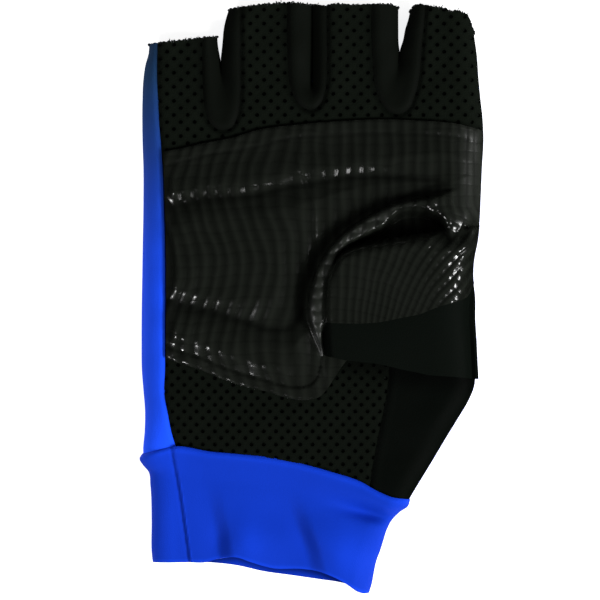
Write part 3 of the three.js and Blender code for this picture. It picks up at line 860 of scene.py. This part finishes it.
def stretch_nodes(colour):
    """A material of smooth knitted stretch cloth in one colour, and its nodes."""
    material, nodes, links, shader = new_material("Stretch cloth", colour, 0.6, 0.04)
    place = place_node(nodes)
    fine = noise_node(nodes, links, place, 2600, 2)
    soft = noise_node(nodes, links, place, 160, 3)
    height = math_node(nodes, links, "ADD", fine, math_node(nodes, links, "MULTIPLY", soft, 1.5))
    add_bump(nodes, links, shader, height, 0.00012, 0.7)
    return material, nodes, links, shader


def stretch_material(colour):
    """Smooth knitted stretch cloth, with the painted light and shade that its points carry."""
    material, nodes, links, shader = stretch_nodes(colour)
    toned(nodes, links, colour, shader)
    return material


def blue_back_material(looks):
    """Blue stretch cloth, printed to fade to navy towards the fingers."""
    material, nodes, links, shader = stretch_nodes(looks.blue)
    split = nodes.new("ShaderNodeSeparateXYZ")
    links.new(place_node(nodes), split.inputs["Vector"])
    length, low = PRINT_LENGTH * MM, PRINT_LOW * MM
    share = math_node(nodes, links, "MULTIPLY_ADD", split.outputs["Y"], 1 / length, low / length)
    blue, navy = looks.blue, looks.navy
    bright = [1.2 * b for b in blue]
    stops = [(0.0, bright), (0.12, [0.9 * b for b in blue]), (0.38, [0.96 * b for b in blue])]
    for height, part in ((0.47, 0.84), (0.58, 0.51), (0.70, 0.20), (0.79, 0.08), (0.86, 0.0)):
        stops.append((height, [part * b + (1 - part) * n for b, n in zip(blue, navy)]))
    stops.append((1.0, [0.9 * navy[0], 0.6 * navy[1], 0.4 * navy[2]]))
    links.new(ramp_node(nodes, links, share, stops), shader.inputs["Base Color"])
    return material


def leather_material(looks, leather):
    """Black grip leather embossed with a lattice, with painted light and shade in its colour."""
    material, nodes, links, shader = new_material("Black grip leather", looks.leather, looks.leather_gloss)
    p, q = pattern_axes(nodes, links)
    wave = cell_wave(nodes, links, p, leather.cell_width / MM)
    across = math_node(nodes, links, "MULTIPLY", wave, 1.25, clamp=True)
    along = cell_wave(nodes, links, q, leather.cell_height / MM)
    along = math_node(nodes, links, "MULTIPLY", along, 2.4, clamp=True)
    along = math_node(nodes, links, "MULTIPLY_ADD", along, 0.45, 0.55)
    cells = math_node(nodes, links, "MULTIPLY", across, along)
    place = place_node(nodes)
    grain = noise_node(nodes, links, place, 1500, 4)
    height = math_node(nodes, links, "MULTIPLY_ADD", grain, 0.15, cells)
    add_bump(nodes, links, shader, height, 0.00007, 0.9)
    cloudy = noise_node(nodes, links, place, 130, 3)
    # the colour: painted light on the lattice's rib crests and painted shade in its grooves, with a cloudy
    # random tone
    rib = math_node(nodes, links, "POWER", wave, 5.0)
    tone = math_node(nodes, links, "MULTIPLY_ADD", rib, 0.25, 0.165)
    tone = math_node(nodes, links, "MULTIPLY_ADD", along, 0.21, tone)
    tone = math_node(nodes, links, "MULTIPLY_ADD", cloudy, 0.12, tone)
    tone = math_node(nodes, links, "MULTIPLY_ADD", across, 0.08, tone)
    # times the painted light and shade that the points carry
    painted_shading = painted_shading_node(nodes)
    tone = math_node(nodes, links, "MULTIPLY", tone, painted_shading)
    light = [2.0 * v for v in looks.leather]
    links.new(ramp_node(nodes, links, tone, [(0.0, (0, 0, 0)), (1.0, light)]), shader.inputs["Base Color"])
    # roughness rises where the points carry painted light, so the ridge and the thumb side's border look
    # rubbed
    rough = math_node(nodes, links, "MULTIPLY_ADD", cloudy, 0.20, looks.leather_gloss - 0.10)
    painted_light_and_rubbed = math_node(nodes, links, "SUBTRACT", painted_shading, 1.0, clamp=True)
    links.new(math_node(nodes, links, "MULTIPLY_ADD", painted_light_and_rubbed, 0.45, rough), shader.inputs["Roughness"])
    return material


def mesh_material(looks):
    """Black open mesh of a fine knit."""
    material, nodes, links, shader = new_material("Black open mesh", looks.mesh, 0.8, 0.05)
    place = place_node(nodes)
    knit = noise_node(nodes, links, place, 2200, 2)
    soft = noise_node(nodes, links, place, 240, 2)
    height = math_node(nodes, links, "MULTIPLY_ADD", soft, 1.2, knit)
    add_bump(nodes, links, shader, height, 0.0002, 0.9)
    toned(nodes, links, looks.mesh, shader)
    return material


def lining_material(looks):
    """The black layer that shows through the mesh."""
    material, nodes, links, shader = new_material("Black lining", looks.lining, 0.95, 0.05)
    fine = noise_node(nodes, links, place_node(nodes), 2400, 2)
    add_bump(nodes, links, shader, fine, 0.0001, 0.5)
    return material


def thread_material(looks):
    """Black twisted thread."""
    material, nodes, links, shader = new_material("Black thread", looks.thread, 0.5)
    twist = noise_node(nodes, links, place_node(nodes), 5200, 2)
    add_bump(nodes, links, shader, twist, 0.00008, 0.6)
    return material


def made_once(name, make):
    """The material of that name, made when it is first asked for."""
    found = bpy.data.materials.get(name)
    if found:
        return found
    made = make()
    made.name = name
    return made


class GloveLooks(bpy.types.PropertyGroup):
    """Colours and gloss of the glove's materials."""
    blue: FloatVectorProperty(
        name="Blue", description="Blue stretch cloth", subtype="COLOR", default=(0.0100, 0.074, 0.87))
    cuff: FloatVectorProperty(
        name="Cuff", description="Blue stretch cloth of the cuff", subtype="COLOR",
        default=(0.0038, 0.0325, 0.43))
    navy: FloatVectorProperty(
        name="Navy", description="Blue cloth near the fingers", subtype="COLOR",
        default=(0.0115, 0.040, 0.112))
    mesh: FloatVectorProperty(
        name="Mesh", description="Black open mesh", subtype="COLOR", default=(0.0041, 0.0059, 0.0038))
    stretch: FloatVectorProperty(
        name="Stretch", description="Black stretch cloth", subtype="COLOR", default=(0.0020, 0.0031, 0.0022))
    # a lighter copy of the black stretch: painted light on the fourchettes' rolls
    fourchette: FloatVectorProperty(
        name="Fourchettes", description="Stretch cloth between the fingers", subtype="COLOR",
        default=(0.0031, 0.0040, 0.0029))
    lining: FloatVectorProperty(
        name="Lining", description="Layer under the mesh", subtype="COLOR", default=(0.0044, 0.0058, 0.0044))
    thread: FloatVectorProperty(
        name="Thread", description="Thread of the finger ends", subtype="COLOR",
        default=(0.012, 0.0135, 0.015))
    leather: FloatVectorProperty(
        name="Leather", description="Black grip leather", subtype="COLOR", default=(0.0061, 0.0071, 0.0056))
    leather_gloss: FloatProperty(
        name="Leather roughness", description="Roughness of the leather", subtype="FACTOR", default=0.19)


class GloveCloth(bpy.types.PropertyGroup):
    """Sizes of the cloth panels."""
    thickness: FloatProperty(
        name="Cloth", description="Thickness of the stretch cloth", unit="LENGTH", default=0.001)
    cuff_thickness: FloatProperty(
        name="Cuff", description="Thickness of the doubled cuff", unit="LENGTH", default=0.0014)
    mesh_thickness: FloatProperty(
        name="Mesh", description="Thickness of the mesh's outer layer", unit="LENGTH", default=0.0006)
    lining_thickness: FloatProperty(
        name="Lining", description="Thickness of the layer under the mesh", unit="LENGTH", default=0.0004)
    lining_depth: FloatProperty(
        name="Lining depth", description="How far that layer lies below the mesh", unit="LENGTH",
        default=0.0009)
    hole: FloatProperty(
        name="Mesh hole", description="Half the width of a mesh hole", unit="LENGTH", default=0.00070)
    hole_spacing: FloatProperty(
        name="Hole spacing", description="Distance between holes in one row", unit="LENGTH", default=0.0044)
    row_spacing: FloatProperty(
        name="Row spacing", description="Distance between rows of holes", unit="LENGTH", default=0.00224)
    step: FloatProperty(
        name="Fineness", description="Spacing of the points of the cloth", unit="LENGTH", default=0.0005)


class GloveLeather(bpy.types.PropertyGroup):
    """Sizes of the padded leather."""
    thickness: FloatProperty(
        name="Thickness", description="Thickness of the leather", unit="LENGTH", default=0.001)
    pad_rise: FloatProperty(
        name="Pads", description="How far the foam lifts the leather", unit="LENGTH", default=0.0021)
    ridge_rise: FloatProperty(
        name="Ridge", description="Height of the fold round the thumb", unit="LENGTH", default=0.0046)
    valley: FloatProperty(
        name="Valley", description="Depth of the leather beside the fold", unit="LENGTH", default=0.0007)
    pocket: FloatProperty(
        name="Pocket", description="Depth of the hollow behind the fold", unit="LENGTH", default=0.0045)
    cell_width: FloatProperty(
        name="Cell width", description="Width of an embossed cell", unit="LENGTH", default=0.0031)
    cell_height: FloatProperty(
        name="Cell height", description="Height of an embossed cell", unit="LENGTH", default=0.0029)
    emboss: FloatProperty(
        name="Embossing", description="Depth of the embossed lattice", unit="LENGTH", default=0.0001)


class GloveThumb(bpy.types.PropertyGroup):
    """Sizes of the thumb sleeve."""
    rise: FloatProperty(
        name="Top", description="Height of the folded sleeve's upper face", unit="LENGTH", default=0.0192)
    gap: FloatProperty(
        name="Lift", description="How far its lower side lies above the palm", unit="LENGTH", default=0.0008)


class GloveStage(bpy.types.PropertyGroup):
    """Floor, light and camera."""
    distance: FloatProperty(
        name="Camera distance", description="Camera above the glove", unit="LENGTH", default=1.067)
    focal: FloatProperty(
        name="Focal length", description="Focal length of the camera in millimetres", default=200.0)
    key: FloatProperty(name="Key light", description="Power of the light from the thumb side", default=21.0)
    side: FloatProperty(
        name="Side light", description="Power of the light from the little finger", default=6.0)
    rim: FloatProperty(
        name="Rim light", description="Power of the small light on the thumb side", default=9.0)
    fill: FloatProperty(name="Fill light", description="Power of the light below the palm", default=0.55)
    sky: FloatProperty(name="Surroundings", description="Strength of the light all round", default=0.27)


class GloveSettings(bpy.types.PropertyGroup):
    """All the settings of the glove."""
    looks: PointerProperty(name="Looks", description="Colours and gloss", type=GloveLooks)
    cloth: PointerProperty(name="Cloth", description="Cloth panels", type=GloveCloth)
    leather: PointerProperty(name="Leather", description="Padded leather", type=GloveLeather)
    thumb: PointerProperty(name="Thumb", description="Thumb sleeve", type=GloveThumb)
    stage: PointerProperty(name="Stage", description="Floor, light and camera", type=GloveStage)


def over_fingers(cloth, step, height, flip=False, start=None, fingers=range(4)):
    """Adds the strips of the fingers to the cloth, at the given height over the plan."""
    for finger in fingers:
        x, y = strip_grid(finger, step, start)
        # each point carries the cloth's painted shade
        cloth.add_grid(x, y, height(finger, x, y), painted_shading=cloth_painted_shade(x, y), flip=flip)
    return cloth


def under_leather(x, y, margin):
    """Positive where the cloth still shows, or lies less than a margin in under the leather's edge."""
    top = beside(x, y, LINES["top"])
    bottom = -beside(x, y, LINES["bottom"])
    return np.maximum(top, bottom) + margin


class GLOVE_OT_back(bpy.types.Operator):
    """Builds the blue back, which wraps round to the palm side as a narrow strip"""
    bl_idname = "glove.back"
    bl_label = "Back"

    def execute(self, context):
        glove = context.scene.glove
        cloth = Cloth()
        over_fingers(cloth, 1.0, back_height, flip=True)
        strip = Cloth()
        over_fingers(strip, 0.6, palm_height, fingers=[0])
        strip.trim_by(lambda x, y: -beside(x, y, LINES["side"]))
        strip.drop_unused()
        first = len(cloth.points)
        cloth.points = np.concatenate([cloth.points, strip.points])
        cloth.faces += [[first + i for i in face] for face in strip.faces]
        cloth.weld()
        blue = made_once("Printed blue stretch", lambda: blue_back_material(glove.looks))
        piece = mesh_object("back", cloth, blue, glove.cloth.thickness)
        keep_piece(piece, "blue_stretch", "back_panel")
        return {"FINISHED"}


class GLOVE_OT_mesh(bpy.types.Operator):
    """Builds the open mesh of the fingers' palm side and of the heel of the hand, over its dark lining"""
    bl_idname = "glove.mesh"
    bl_label = "Open mesh"

    def execute(self, context):
        glove = context.scene.glove
        settings = glove.cloth
        cloth = over_fingers(Cloth(), settings.step / MM, palm_height)
        depth = settings.lining_depth / MM
        lining = over_fingers(Cloth(), 1.2, lambda finger, x, y: palm_height(finger, x, y) - depth)
        outer = (
            lambda x, y: beside(x, y, LINES["side"]) - 0.12,
            lambda x, y: under_leather(x, y, 4.0),
        )
        inner = (
            lambda x, y: -np.max([beside(x, y, line) for line in FORK_LINES], axis=0) - SEAM_GAP,
            lambda x, y: np.where(y > 9, 5, -beside(x, y, LINES["gusset"]) - SEAM_GAP),
        )
        for panel, fields in ((cloth, outer + inner), (lining, outer)):
            panel.trim_by(*fields).weld()
        x, y = cloth.points[:, 0], cloth.points[:, 1]
        gap, ribs = self.holes(x, y, settings), self.ribs(x, y, settings)
        # painted shade round the rims of the holes, lighter on the knit's slanting ribs, and darker on the
        # fingers than on the heel
        cloth.points[:, 5] *= (0.93 + 0.14 * ribs) * (1 - 0.15 * groove(np.maximum(gap, 0), 0.45))
        cloth.points[:, 5] *= np.where(y > HEEL_Y, 0.88, 1.10)
        cloth.trim(gap)
        mesh = made_once("Black open mesh", lambda: mesh_material(glove.looks))
        piece = mesh_object("open_mesh", cloth, mesh, settings.mesh_thickness)
        keep_piece(piece, "black_mesh", "palm_mesh")
        dark = made_once("Black lining", lambda: lining_material(glove.looks))
        keep_piece(mesh_object("mesh_lining", lining, dark, settings.lining_thickness), "black_mesh")
        return {"FINISHED"}

    @staticmethod
    def spacing(y, settings):
        """Distance between the holes in a row and between the rows, closer on the heel of the hand."""
        finger = y > HEEL_Y
        across, rows = settings.hole_spacing / MM, settings.row_spacing / MM
        return np.where(finger, across, across * 0.88), np.where(finger, rows, rows * 0.94)

    @classmethod
    def ribs(cls, x, y, settings):
        """Slanting ribs that cross between the holes, from 0 beside them to 1 on them."""
        across, rows = cls.spacing(y, settings)
        share = [x / across + side * y / (2 * rows) for side in (1, -1)]
        return np.clip(sum(groove(v - np.floor(v) - 0.5, 0.17) for v in share), 0, 1)

    @classmethod
    def holes(cls, x, y, settings):
        """Distance from the nearest hole's edge, negative inside it."""
        across, rows = cls.spacing(y, settings)
        nearest = np.full(len(x), 9.0)
        row = np.round(y / rows)
        for step in (-1, 0, 1):
            r = row + step
            shifted = x / across - 0.5 * (r % 2)
            off = (shifted - np.round(shifted)) * across
            nearest = np.minimum(nearest, np.hypot(off, (y - r * rows) * 1.1))
        return nearest - settings.hole / MM


class GLOVE_OT_stretch(bpy.types.Operator):
    """Builds the smooth black cloth between the fingers and below the thumb"""
    bl_idname = "glove.stretch"
    bl_label = "Black stretch cloth"

    def execute(self, context):
        glove = context.scene.glove
        black = made_once("Black stretch", lambda: stretch_material(glove.looks.stretch))
        # the fourchettes take a lighter copy of the black stretch cloth: painted light that stands in for
        # the light on their rounded rolls
        lighter_stretch = made_once("Lighter black stretch", lambda: stretch_material(glove.looks.fourchette))
        names = ("little_ring", "ring_middle", "middle_index")
        for n, name in enumerate(names):
            cloth = over_fingers(Cloth(), 0.6, palm_height, start=ROOT_Y - 3, fingers=(n, n + 1))
            cloth.trim_by(lambda x, y: beside(x, y, FORK_LINES[n]) - SEAM_GAP).weld()
            piece = mesh_object("fork_" + name, cloth, lighter_stretch, glove.cloth.thickness)
            keep_piece(piece, "black_stretch", "fourchette_" + name)
        cloth = over_fingers(Cloth(), 0.8, palm_height, fingers=(2, 3))
        cloth.trim_by(
            lambda x, y: beside(x, y, LINES["gusset"]) - SEAM_GAP,
            lambda x, y: 12 - y,
        ).weld()
        piece = mesh_object("gusset", cloth, black, glove.cloth.thickness)
        keep_piece(piece, "black_stretch", "wrist_gusset")
        return {"FINISHED"}


class GLOVE_OT_leather(bpy.types.Operator):
    """Builds the padded, quilted and embossed leather of the palm"""
    bl_idname = "glove.leather"
    bl_label = "Palm leather"

    def execute(self, context):
        glove = context.scene.glove
        leather = glove.leather
        share, y = np.meshgrid(shares(108, 0.5, 8.0), np.arange(-34, 58.5, 0.5))
        left, right = hand_sides(y)
        x = left + share * (right - left)
        p, q = emboss(x, y, False)
        ridge, pocket = beside(x, y, LINES["ridge"]), beside(x, y, LINES["pocket"])
        on_ridge = smoothstep(-0.5, 1.5, ridge) * smoothstep(-1.0, 0.8, pocket) * smoothstep(45, 39, x)
        on_ridge = on_ridge * smoothstep(-22, -8, y)
        even = np.maximum(outer_side(x, y), 0.8 * on_ridge)
        deeper = 2.6 * on_ridge + 1.5 * smoothstep(-20, -40, x) + 2.2 * even
        depth = leather.emboss / MM * (1 + deeper)
        z = leather_height(x, y) + depth * (pillow(p, q, leather, even) - 0.5)
        cloth = Cloth()
        # each point carries the leather's painted light and shade
        cloth.add_grid(x, y, z, (p, q), leather_painted_shading(x, y))
        cloth.trim_by(
            lambda x, y: beside(x, y, LINES["side"]) - 0.4,
            lambda x, y: -beside(x, y, LINES["top"]),
            lambda x, y: beside(x, y, LINES["bottom"]),
            lambda x, y: np.maximum(y - BRIDGE_Y, POCKET_END + 0.5 - x),
        )
        hide = made_once("Black grip leather", lambda: leather_material(glove.looks, leather))
        piece = mesh_object("palm_leather", cloth, hide, leather.thickness)
        keep_piece(piece, "grip_leather", "palm_patch")
        return {"FINISHED"}


class GLOVE_OT_thumb(bpy.types.Operator):
    """Builds the thumb sleeve, folded over the palm, and the leather on it"""
    bl_idname = "glove.thumb"
    bl_label = "Thumb"

    def execute(self, context):
        glove = context.scene.glove
        leather = glove.leather
        x, y = self.grid(0.5, 26.0)
        p, q = emboss(x, y, True)
        even = outer_side(x, y)
        depth = leather.emboss / MM * (1 + 2.2 * even)
        z = bridged_height(x, y) + depth * (pillow(p, q, leather, even) - 0.5)
        cloth = Cloth()
        # each point carries the painted reflection on the thumb side's border
        cloth.add_grid(x, y, z, (p, q), leather_painted_shading(x, y, on_thumb=True))
        cloth.trim_by(
            lambda x, y: np.where(x > POCKET_END, 9, 0.3 - beside(x, y, LINES["thumb_top"])),
            lambda x, y: BRIDGE_Y - y,
            lambda x, y: beside(x, y, LINES["thumb_hem"]),
        )
        hide = made_once("Black grip leather", lambda: leather_material(glove.looks, leather))
        piece = mesh_object("thumb_leather", cloth, hide, leather.thickness)
        keep_piece(piece, "grip_leather", "thumb_patch")

        sleeve = Cloth()
        x, y = self.grid(0.8, 14.0)
        upper = np.minimum(thumb_height(x, y), bridged_height(x, y)) - leather.thickness / MM - 0.1
        lower = hand_height(np.minimum(x, hand_sides(y)[1] - HAND_EDGE), y) + glove.thumb.gap / MM
        from_left, from_right = x - x[:, :1], x[:, -1:] - x
        edge = np.where(from_left < from_right, upper[:, :1], upper[:, -1:])
        rim = rolled(np.minimum(from_left, from_right), 2.0)
        lower = edge + (np.minimum(lower, upper - 0.4) - edge) * rim
        inward = np.where(from_left < from_right, 1.3, -1.3) * glove.cloth.thickness / MM
        fade = smoothstep(24, 12, np.minimum(from_left, from_right))
        sleeve.add_grid(x, y, upper)
        sleeve.add_grid(x + inward * rim * fade, y, lower, flip=True)
        sleeve.trim_by(lambda x, y: 9.0 - y).weld()
        black = made_once("Black stretch", lambda: stretch_material(glove.looks.stretch))
        piece = mesh_object("thumb_sleeve_cloth", sleeve, black, glove.cloth.thickness)
        keep_piece(piece, "black_stretch", "thumb_sleeve")
        return {"FINISHED"}

    @staticmethod
    def grid(step, top):
        """Plan positions over the thumb, from its mouth up to the given y."""
        share = shares(48, step, 6.0)
        mouth = np.full(len(share), -22.0)
        for _ in range(MEETING_TURNS):
            left, right = spline(THUMB_LEFT, mouth), spline(THUMB_RIGHT, mouth)
            mouth = straight(THUMB_MOUTH, left + share * (right - left))
        rows = [mouth + (top - mouth) * v for v in np.linspace(0, 1, round((top + 22) / step))]
        y = np.array(rows)
        left, right = spline(THUMB_LEFT, y), spline(THUMB_RIGHT, y)
        return left + share * (right - left), y


class GLOVE_OT_cuff(bpy.types.Operator):
    """Builds the blue cuff with its folds, its open end and the seam on its palm side"""
    bl_idname = "glove.cuff"
    bl_label = "Cuff"

    def execute(self, context):
        glove = context.scene.glove
        cloth = Cloth()
        for hem, upper in ((CUFF_HEM, True), (CUFF_BACK_HEM, False)):
            x, y = self.grid(hem)
            # each point carries the cuff's painted light and shade
            cloth.add_grid(x, y, self.height(x, y, upper), painted_shading=self.tone(x, y, upper), flip=not upper)
        cloth.weld()
        blue = made_once("Blue cuff", lambda: stretch_material(glove.looks.cuff))
        piece = mesh_object("cuff_band", cloth, blue, glove.cloth.cuff_thickness, 0.0004)
        keep_piece(piece, "blue_cuff", "cuff")
        return {"FINISHED"}

    @staticmethod
    def grid(hem):
        """Plan positions between the joint with the hand and the open end."""
        share = shares(80, 0.6, 6.0)

        def even(line, v):
            p = drawn(line, 0.25)
            along = np.concatenate([[0], np.cumsum(np.linalg.norm(np.diff(p, axis=0), axis=1))])
            return np.stack([np.interp(v * along[-1], along, p[:, k]) for k in (0, 1)], -1)

        rows = np.linspace(0, 1, 60) ** 0.9
        top, bottom = even(CUFF_JOINT, share)[None], even(hem, share)[None]
        left, right = even(CUFF_LEFT, rows)[:, None], even(CUFF_RIGHT, rows)[:, None]
        u, v = share[None, :, None], rows[:, None, None]
        corners = (
            (1 - u) * (1 - v) * left[0, 0] + u * (1 - v) * right[0, 0]
            + (1 - u) * v * left[-1, 0] + u * v * right[-1, 0]
        )
        plan = (1 - v) * top + v * bottom + (1 - u) * left + u * right - corners
        return plan[::-1, :, 0], plan[::-1, :, 1]

    @staticmethod
    def tone(x, y, upper):
        """Painted light and shade on the cuff: a painted shadow on the back layer just beyond the front hem;
        on the front, painted highlights in a band below the joint, along the hem, on two fold crests and on
        the seam's lip, painted shade beside the seam, and lighter towards the left side.
        """
        hem = y - straight(CUFF_HEM, x)
        if not upper:
            # painted shadow of the front hem on the back layer
            return 1 - 0.6 * groove(hem + 0.6, 1.3)
        below = straight(CUFF_JOINT, x) - y
        seam = beside(x, y, LINES["cuff_seam"])
        # painted highlights in a band below the joint and along the hem
        tone = 1 + 0.35 * groove(below - 0.7, 1.0) + 0.35 * groove(hem - 0.2, 0.6)
        tone = tone + 0.2 * smoothstep(-38, -46, x)
        # painted highlights on two fold crests
        tone = tone + 0.22 * groove(np.hypot((x + 20) / 5, (y + 77) / 7), 1.0)
        tone = tone + 0.22 * groove(np.hypot((x - 12) / 7, (y + 81) / 8), 1.0)
        # painted highlight on the seam's lip and painted shade beside it
        return tone + 0.4 * groove(seam - 0.45, 0.4) - 0.3 * groove(seam + 0.35, 0.35)

    @staticmethod
    def height(x, y, upper):
        """Height of the palm side's outer face, or of the side that the cuff lies on."""
        edges = [np.minimum(np.hypot(x - x[:, [k]], y - y[:, [k]]), 40) for k in (0, -1)]
        over = rolled(edges[0], 7.0) * rolled(edges[1], 7.0)
        if not upper:
            return 3.6 * (1 - over)
        below = straight(CUFF_JOINT, x) - y
        top = 9.7 - 1.2 * smoothstep(0, 10, below) - 0.5 * smoothstep(10, 34, below)
        top = top - 0.6 * (1 - smoothstep(0, 0.6, below)) + 0.2 * groove(below - 1.4, 1.2)
        left_fold = smoothstep(-30.0, -24.5, x + 0.15 * (y + 84)) * smoothstep(-4, -22, x)
        right_fold = smoothstep(-2.5, 3.5, x + 0.3 * (y + 82)) * smoothstep(24, 7, x)
        folds = (
            2.5 * left_fold * smoothstep(8, 30, below)
            + 2.7 * right_fold * smoothstep(8, 26, below)
            - 1.2 * groove(np.hypot((x + 28.5) / 4.0, (y + 76.0) / 6.0), 1.0)
            - 1.4 * groove(np.hypot((x + 1.0 + 0.55 * (y + 78)) / 4.0, (y + 79.0) / 7.0), 1.0)
            - 0.8 * groove(np.hypot((x + 6) / 26, (y + 68) / 6), 1.0)
            - 2.8 * groove(np.hypot((x - 19) / 9, (y + 68.6 + 0.22 * (x - 19)) / 2.2), 1.0)
            + 0.9 * groove(np.hypot((x - 16) / 10, (y + 63 + 0.3 * (x - 16)) / 3.0), 1.0)
            + 0.25 * ripples(x, y, 22, 21)
        )
        seam = beside(x, y, LINES["cuff_seam"])
        lap = 0.6 * smoothstep(-0.1, 0.5, seam) * smoothstep(9, 0.5, seam) - 0.35 * groove(seam + 0.5, 0.5)
        return 3.6 + (top + folds + lap - 3.6) * over


class GLOVE_OT_threads(bpy.types.Operator):
    """Sews the overlocked ends of the fingers, with their loose threads"""
    bl_idname = "glove.threads"
    bl_label = "Threads"

    def execute(self, context):
        rng = np.random.default_rng(8)
        thread = made_once("Black thread", lambda: thread_material(context.scene.glove.looks))
        cloth = Cloth()
        for finger in range(4):
            self.overlock(cloth, finger, rng)
        keep_piece(mesh_object("overlock", cloth, thread), "black_stretch")
        return {"FINISHED"}

    @staticmethod
    def overlock(cloth, finger, rng):
        """Threads wound round one finger's open end, with a few loose ends."""
        x, y = strip_grid(finger, 0.8, start=ROOT_Y - 1)
        tip = np.stack([x[-1], y[-1] - 0.1, palm_height(finger, x[-1], y[-1]) - 0.4], 1)
        under = np.stack([x[-1], y[-1] - 0.1, back_height(finger, x[-1], y[-1]) + 0.7], 1)[::-1]
        loop = np.concatenate([tip, under])
        gaps = np.linalg.norm(loop - np.roll(loop, 1, 0), axis=1)
        loop = loop[gaps > 0.05]
        closed = np.concatenate([loop, loop[:1]])
        along = np.concatenate([[0], np.cumsum(np.linalg.norm(np.diff(closed, axis=0), axis=1))])
        total = along[-1]

        def at(v):
            return np.stack([np.interp(v % total, along, closed[:, k]) for k in range(3)], 1)

        def unit(v, otherwise):
            size = np.linalg.norm(v, axis=1)[:, None]
            return np.where(size > 0.02, v / np.maximum(size, 0.02), otherwise)

        turns, per_turn = round(total / 1.15), 9
        v = np.linspace(0, total, turns * per_turn, endpoint=False)
        v = v + 0.35 * np.sin(v * 2 * math.pi * round(total / 4) / total + finger)
        step = unit(at(v + 0.4) - at(v - 0.4), (1, 0, 0))
        forward = np.array([[0, 1.0, 0]])
        out = unit(np.cross(step, forward), (0, 0, 1))
        angle = 2 * math.pi * np.arange(len(v)) / per_turn
        size = np.clip(0.24 + 0.12 * rng.standard_normal(turns), 0.08, 0.5)
        wide = np.interp(np.arange(len(v)) / per_turn, np.arange(turns), size)
        reach = out * np.cos(angle)[:, None] + forward * np.sin(angle)[:, None]
        tube(cloth, at(v) + reach * wide[:, None], 0.2, sides=6, closed=True)
        for _ in range(5):
            n = rng.integers(len(tip) // 8, 7 * len(tip) // 8)
            heading = rng.uniform(-1.3, 1.3)
            far = np.linspace(0, rng.uniform(0.6, 1.3), 9)[:, None]
            curl = np.array([[math.sin(heading), math.cos(heading), 0.15]])
            bent = tip[n] + far * curl + 0.35 * np.sin(far * 2.6) * np.array([[math.cos(heading), 0, 0.6]])
            tube(cloth, bent, 0.13, sides=5)


class GLOVE_OT_stage(bpy.types.Operator):
    """Sets the pale floor, the lights and the camera straight above"""
    bl_idname = "glove.stage"
    bl_label = "Stage"

    def execute(self, context):
        scene = context.scene
        stage = scene.glove.stage
        floor = self.floor()
        world = scene.world or bpy.data.worlds.new("Surroundings")
        scene.world = world
        world.use_nodes = True
        background = world.node_tree.nodes["Background"]
        background.inputs["Color"].default_value = (1, 1, 1, 1)
        background.inputs["Strength"].default_value = stage.sky
        world.cycles_visibility.glossy = False
        lamps = (
            # name, place, width, power, seen in the gloss
            ("Key", (1.10, -0.50, 0.94), 0.8, stage.key, False),
            ("Little finger side", (-0.76, -0.74, 0.98), 0.24, stage.side, True),
            ("Thumb side", (1.15, -0.42, 0.80), 0.30, stage.rim, True),
            ("Palm side", (0.40, -1.10, 0.80), 0.10, stage.fill, True),
        )
        for name, place, size, power, in_gloss in lamps:
            light = bpy.data.lights.new(name, "AREA")
            light.shape = "DISK"
            light.size = size
            light.energy = power
            lamp = bpy.data.objects.new(name, light)
            lamp.location = place
            lamp.visible_glossy = in_gloss
            aim = -np.array(place)
            lamp.rotation_euler = (
                math.atan2(math.hypot(aim[0], aim[1]), -aim[2]), 0, math.atan2(aim[1], aim[0]) - math.pi / 2)
            scene.collection.objects.link(lamp)
        camera = bpy.data.objects.new("Camera", bpy.data.cameras.new("Camera"))
        camera.data.lens = stage.focal
        camera.data.sensor_width = 36
        camera.data.clip_end = 10
        camera.location = (CAMERA_AT[0] * MM, CAMERA_AT[1] * MM, stage.distance)
        camera.rotation_euler = (0, 0, 0)
        scene.collection.objects.link(camera)
        scene.camera = camera
        scene.view_settings.view_transform = "Standard"
        scene.view_settings.look = "None"
        return {"FINISHED"}

    @staticmethod
    def floor():
        """A wide pale floor just below the glove."""
        mesh = bpy.data.meshes.new("Floor")
        half, z = 3.0, -0.0002
        corners = [(-half, -half, z), (half, -half, z), (half, half, z), (-half, half, z)]
        mesh.from_pydata(corners, [], [(0, 1, 2, 3)])
        material, *_, shader = new_material("Floor", (0.86, 0.86, 0.86), 0.9, 0.1)
        shader.inputs["Emission Color"].default_value = (1, 1, 1, 1)
        shader.inputs["Emission Strength"].default_value = 0.8
        mesh.materials.append(material)
        floor = bpy.data.objects.new("Floor", mesh)
        floor.visible_glossy = False
        bpy.context.collection.objects.link(floor)
        return floor


STEPS = ("back", "mesh", "stretch", "leather", "thumb", "cuff", "threads", "stage")


class GLOVE_PT_panel(bpy.types.Panel):
    """Settings and steps of the glove"""
    bl_idname = "GLOVE_PT_panel"
    bl_label = "Glove"
    bl_space_type = "VIEW_3D"
    bl_region_type = "UI"
    bl_category = "Glove"

    def draw(self, context):
        glove = context.scene.glove
        for group in (glove.looks, glove.cloth, glove.leather, glove.thumb, glove.stage):
            box = self.layout.box()
            for name in group.__annotations__:
                box.prop(group, name)
        for step in STEPS:
            self.layout.operator("glove." + step)


CLASSES = (
    GloveLooks, GloveCloth, GloveLeather, GloveThumb, GloveStage, GloveSettings,
    GLOVE_OT_back, GLOVE_OT_mesh, GLOVE_OT_stretch, GLOVE_OT_leather, GLOVE_OT_thumb, GLOVE_OT_cuff,
    GLOVE_OT_threads, GLOVE_OT_stage, GLOVE_PT_panel,
)


def register():
    for cls in CLASSES:
        bpy.utils.register_class(cls)
    bpy.types.Scene.glove = PointerProperty(
        name="Glove", description="Settings of the glove", type=GloveSettings)


def unregister():
    del bpy.types.Scene.glove
    for cls in reversed(CLASSES):
        bpy.utils.unregister_class(cls)


def main():
    register()
    for step in STEPS:
        getattr(bpy.ops.glove, step)()


if __name__ == "__main__":
    main()
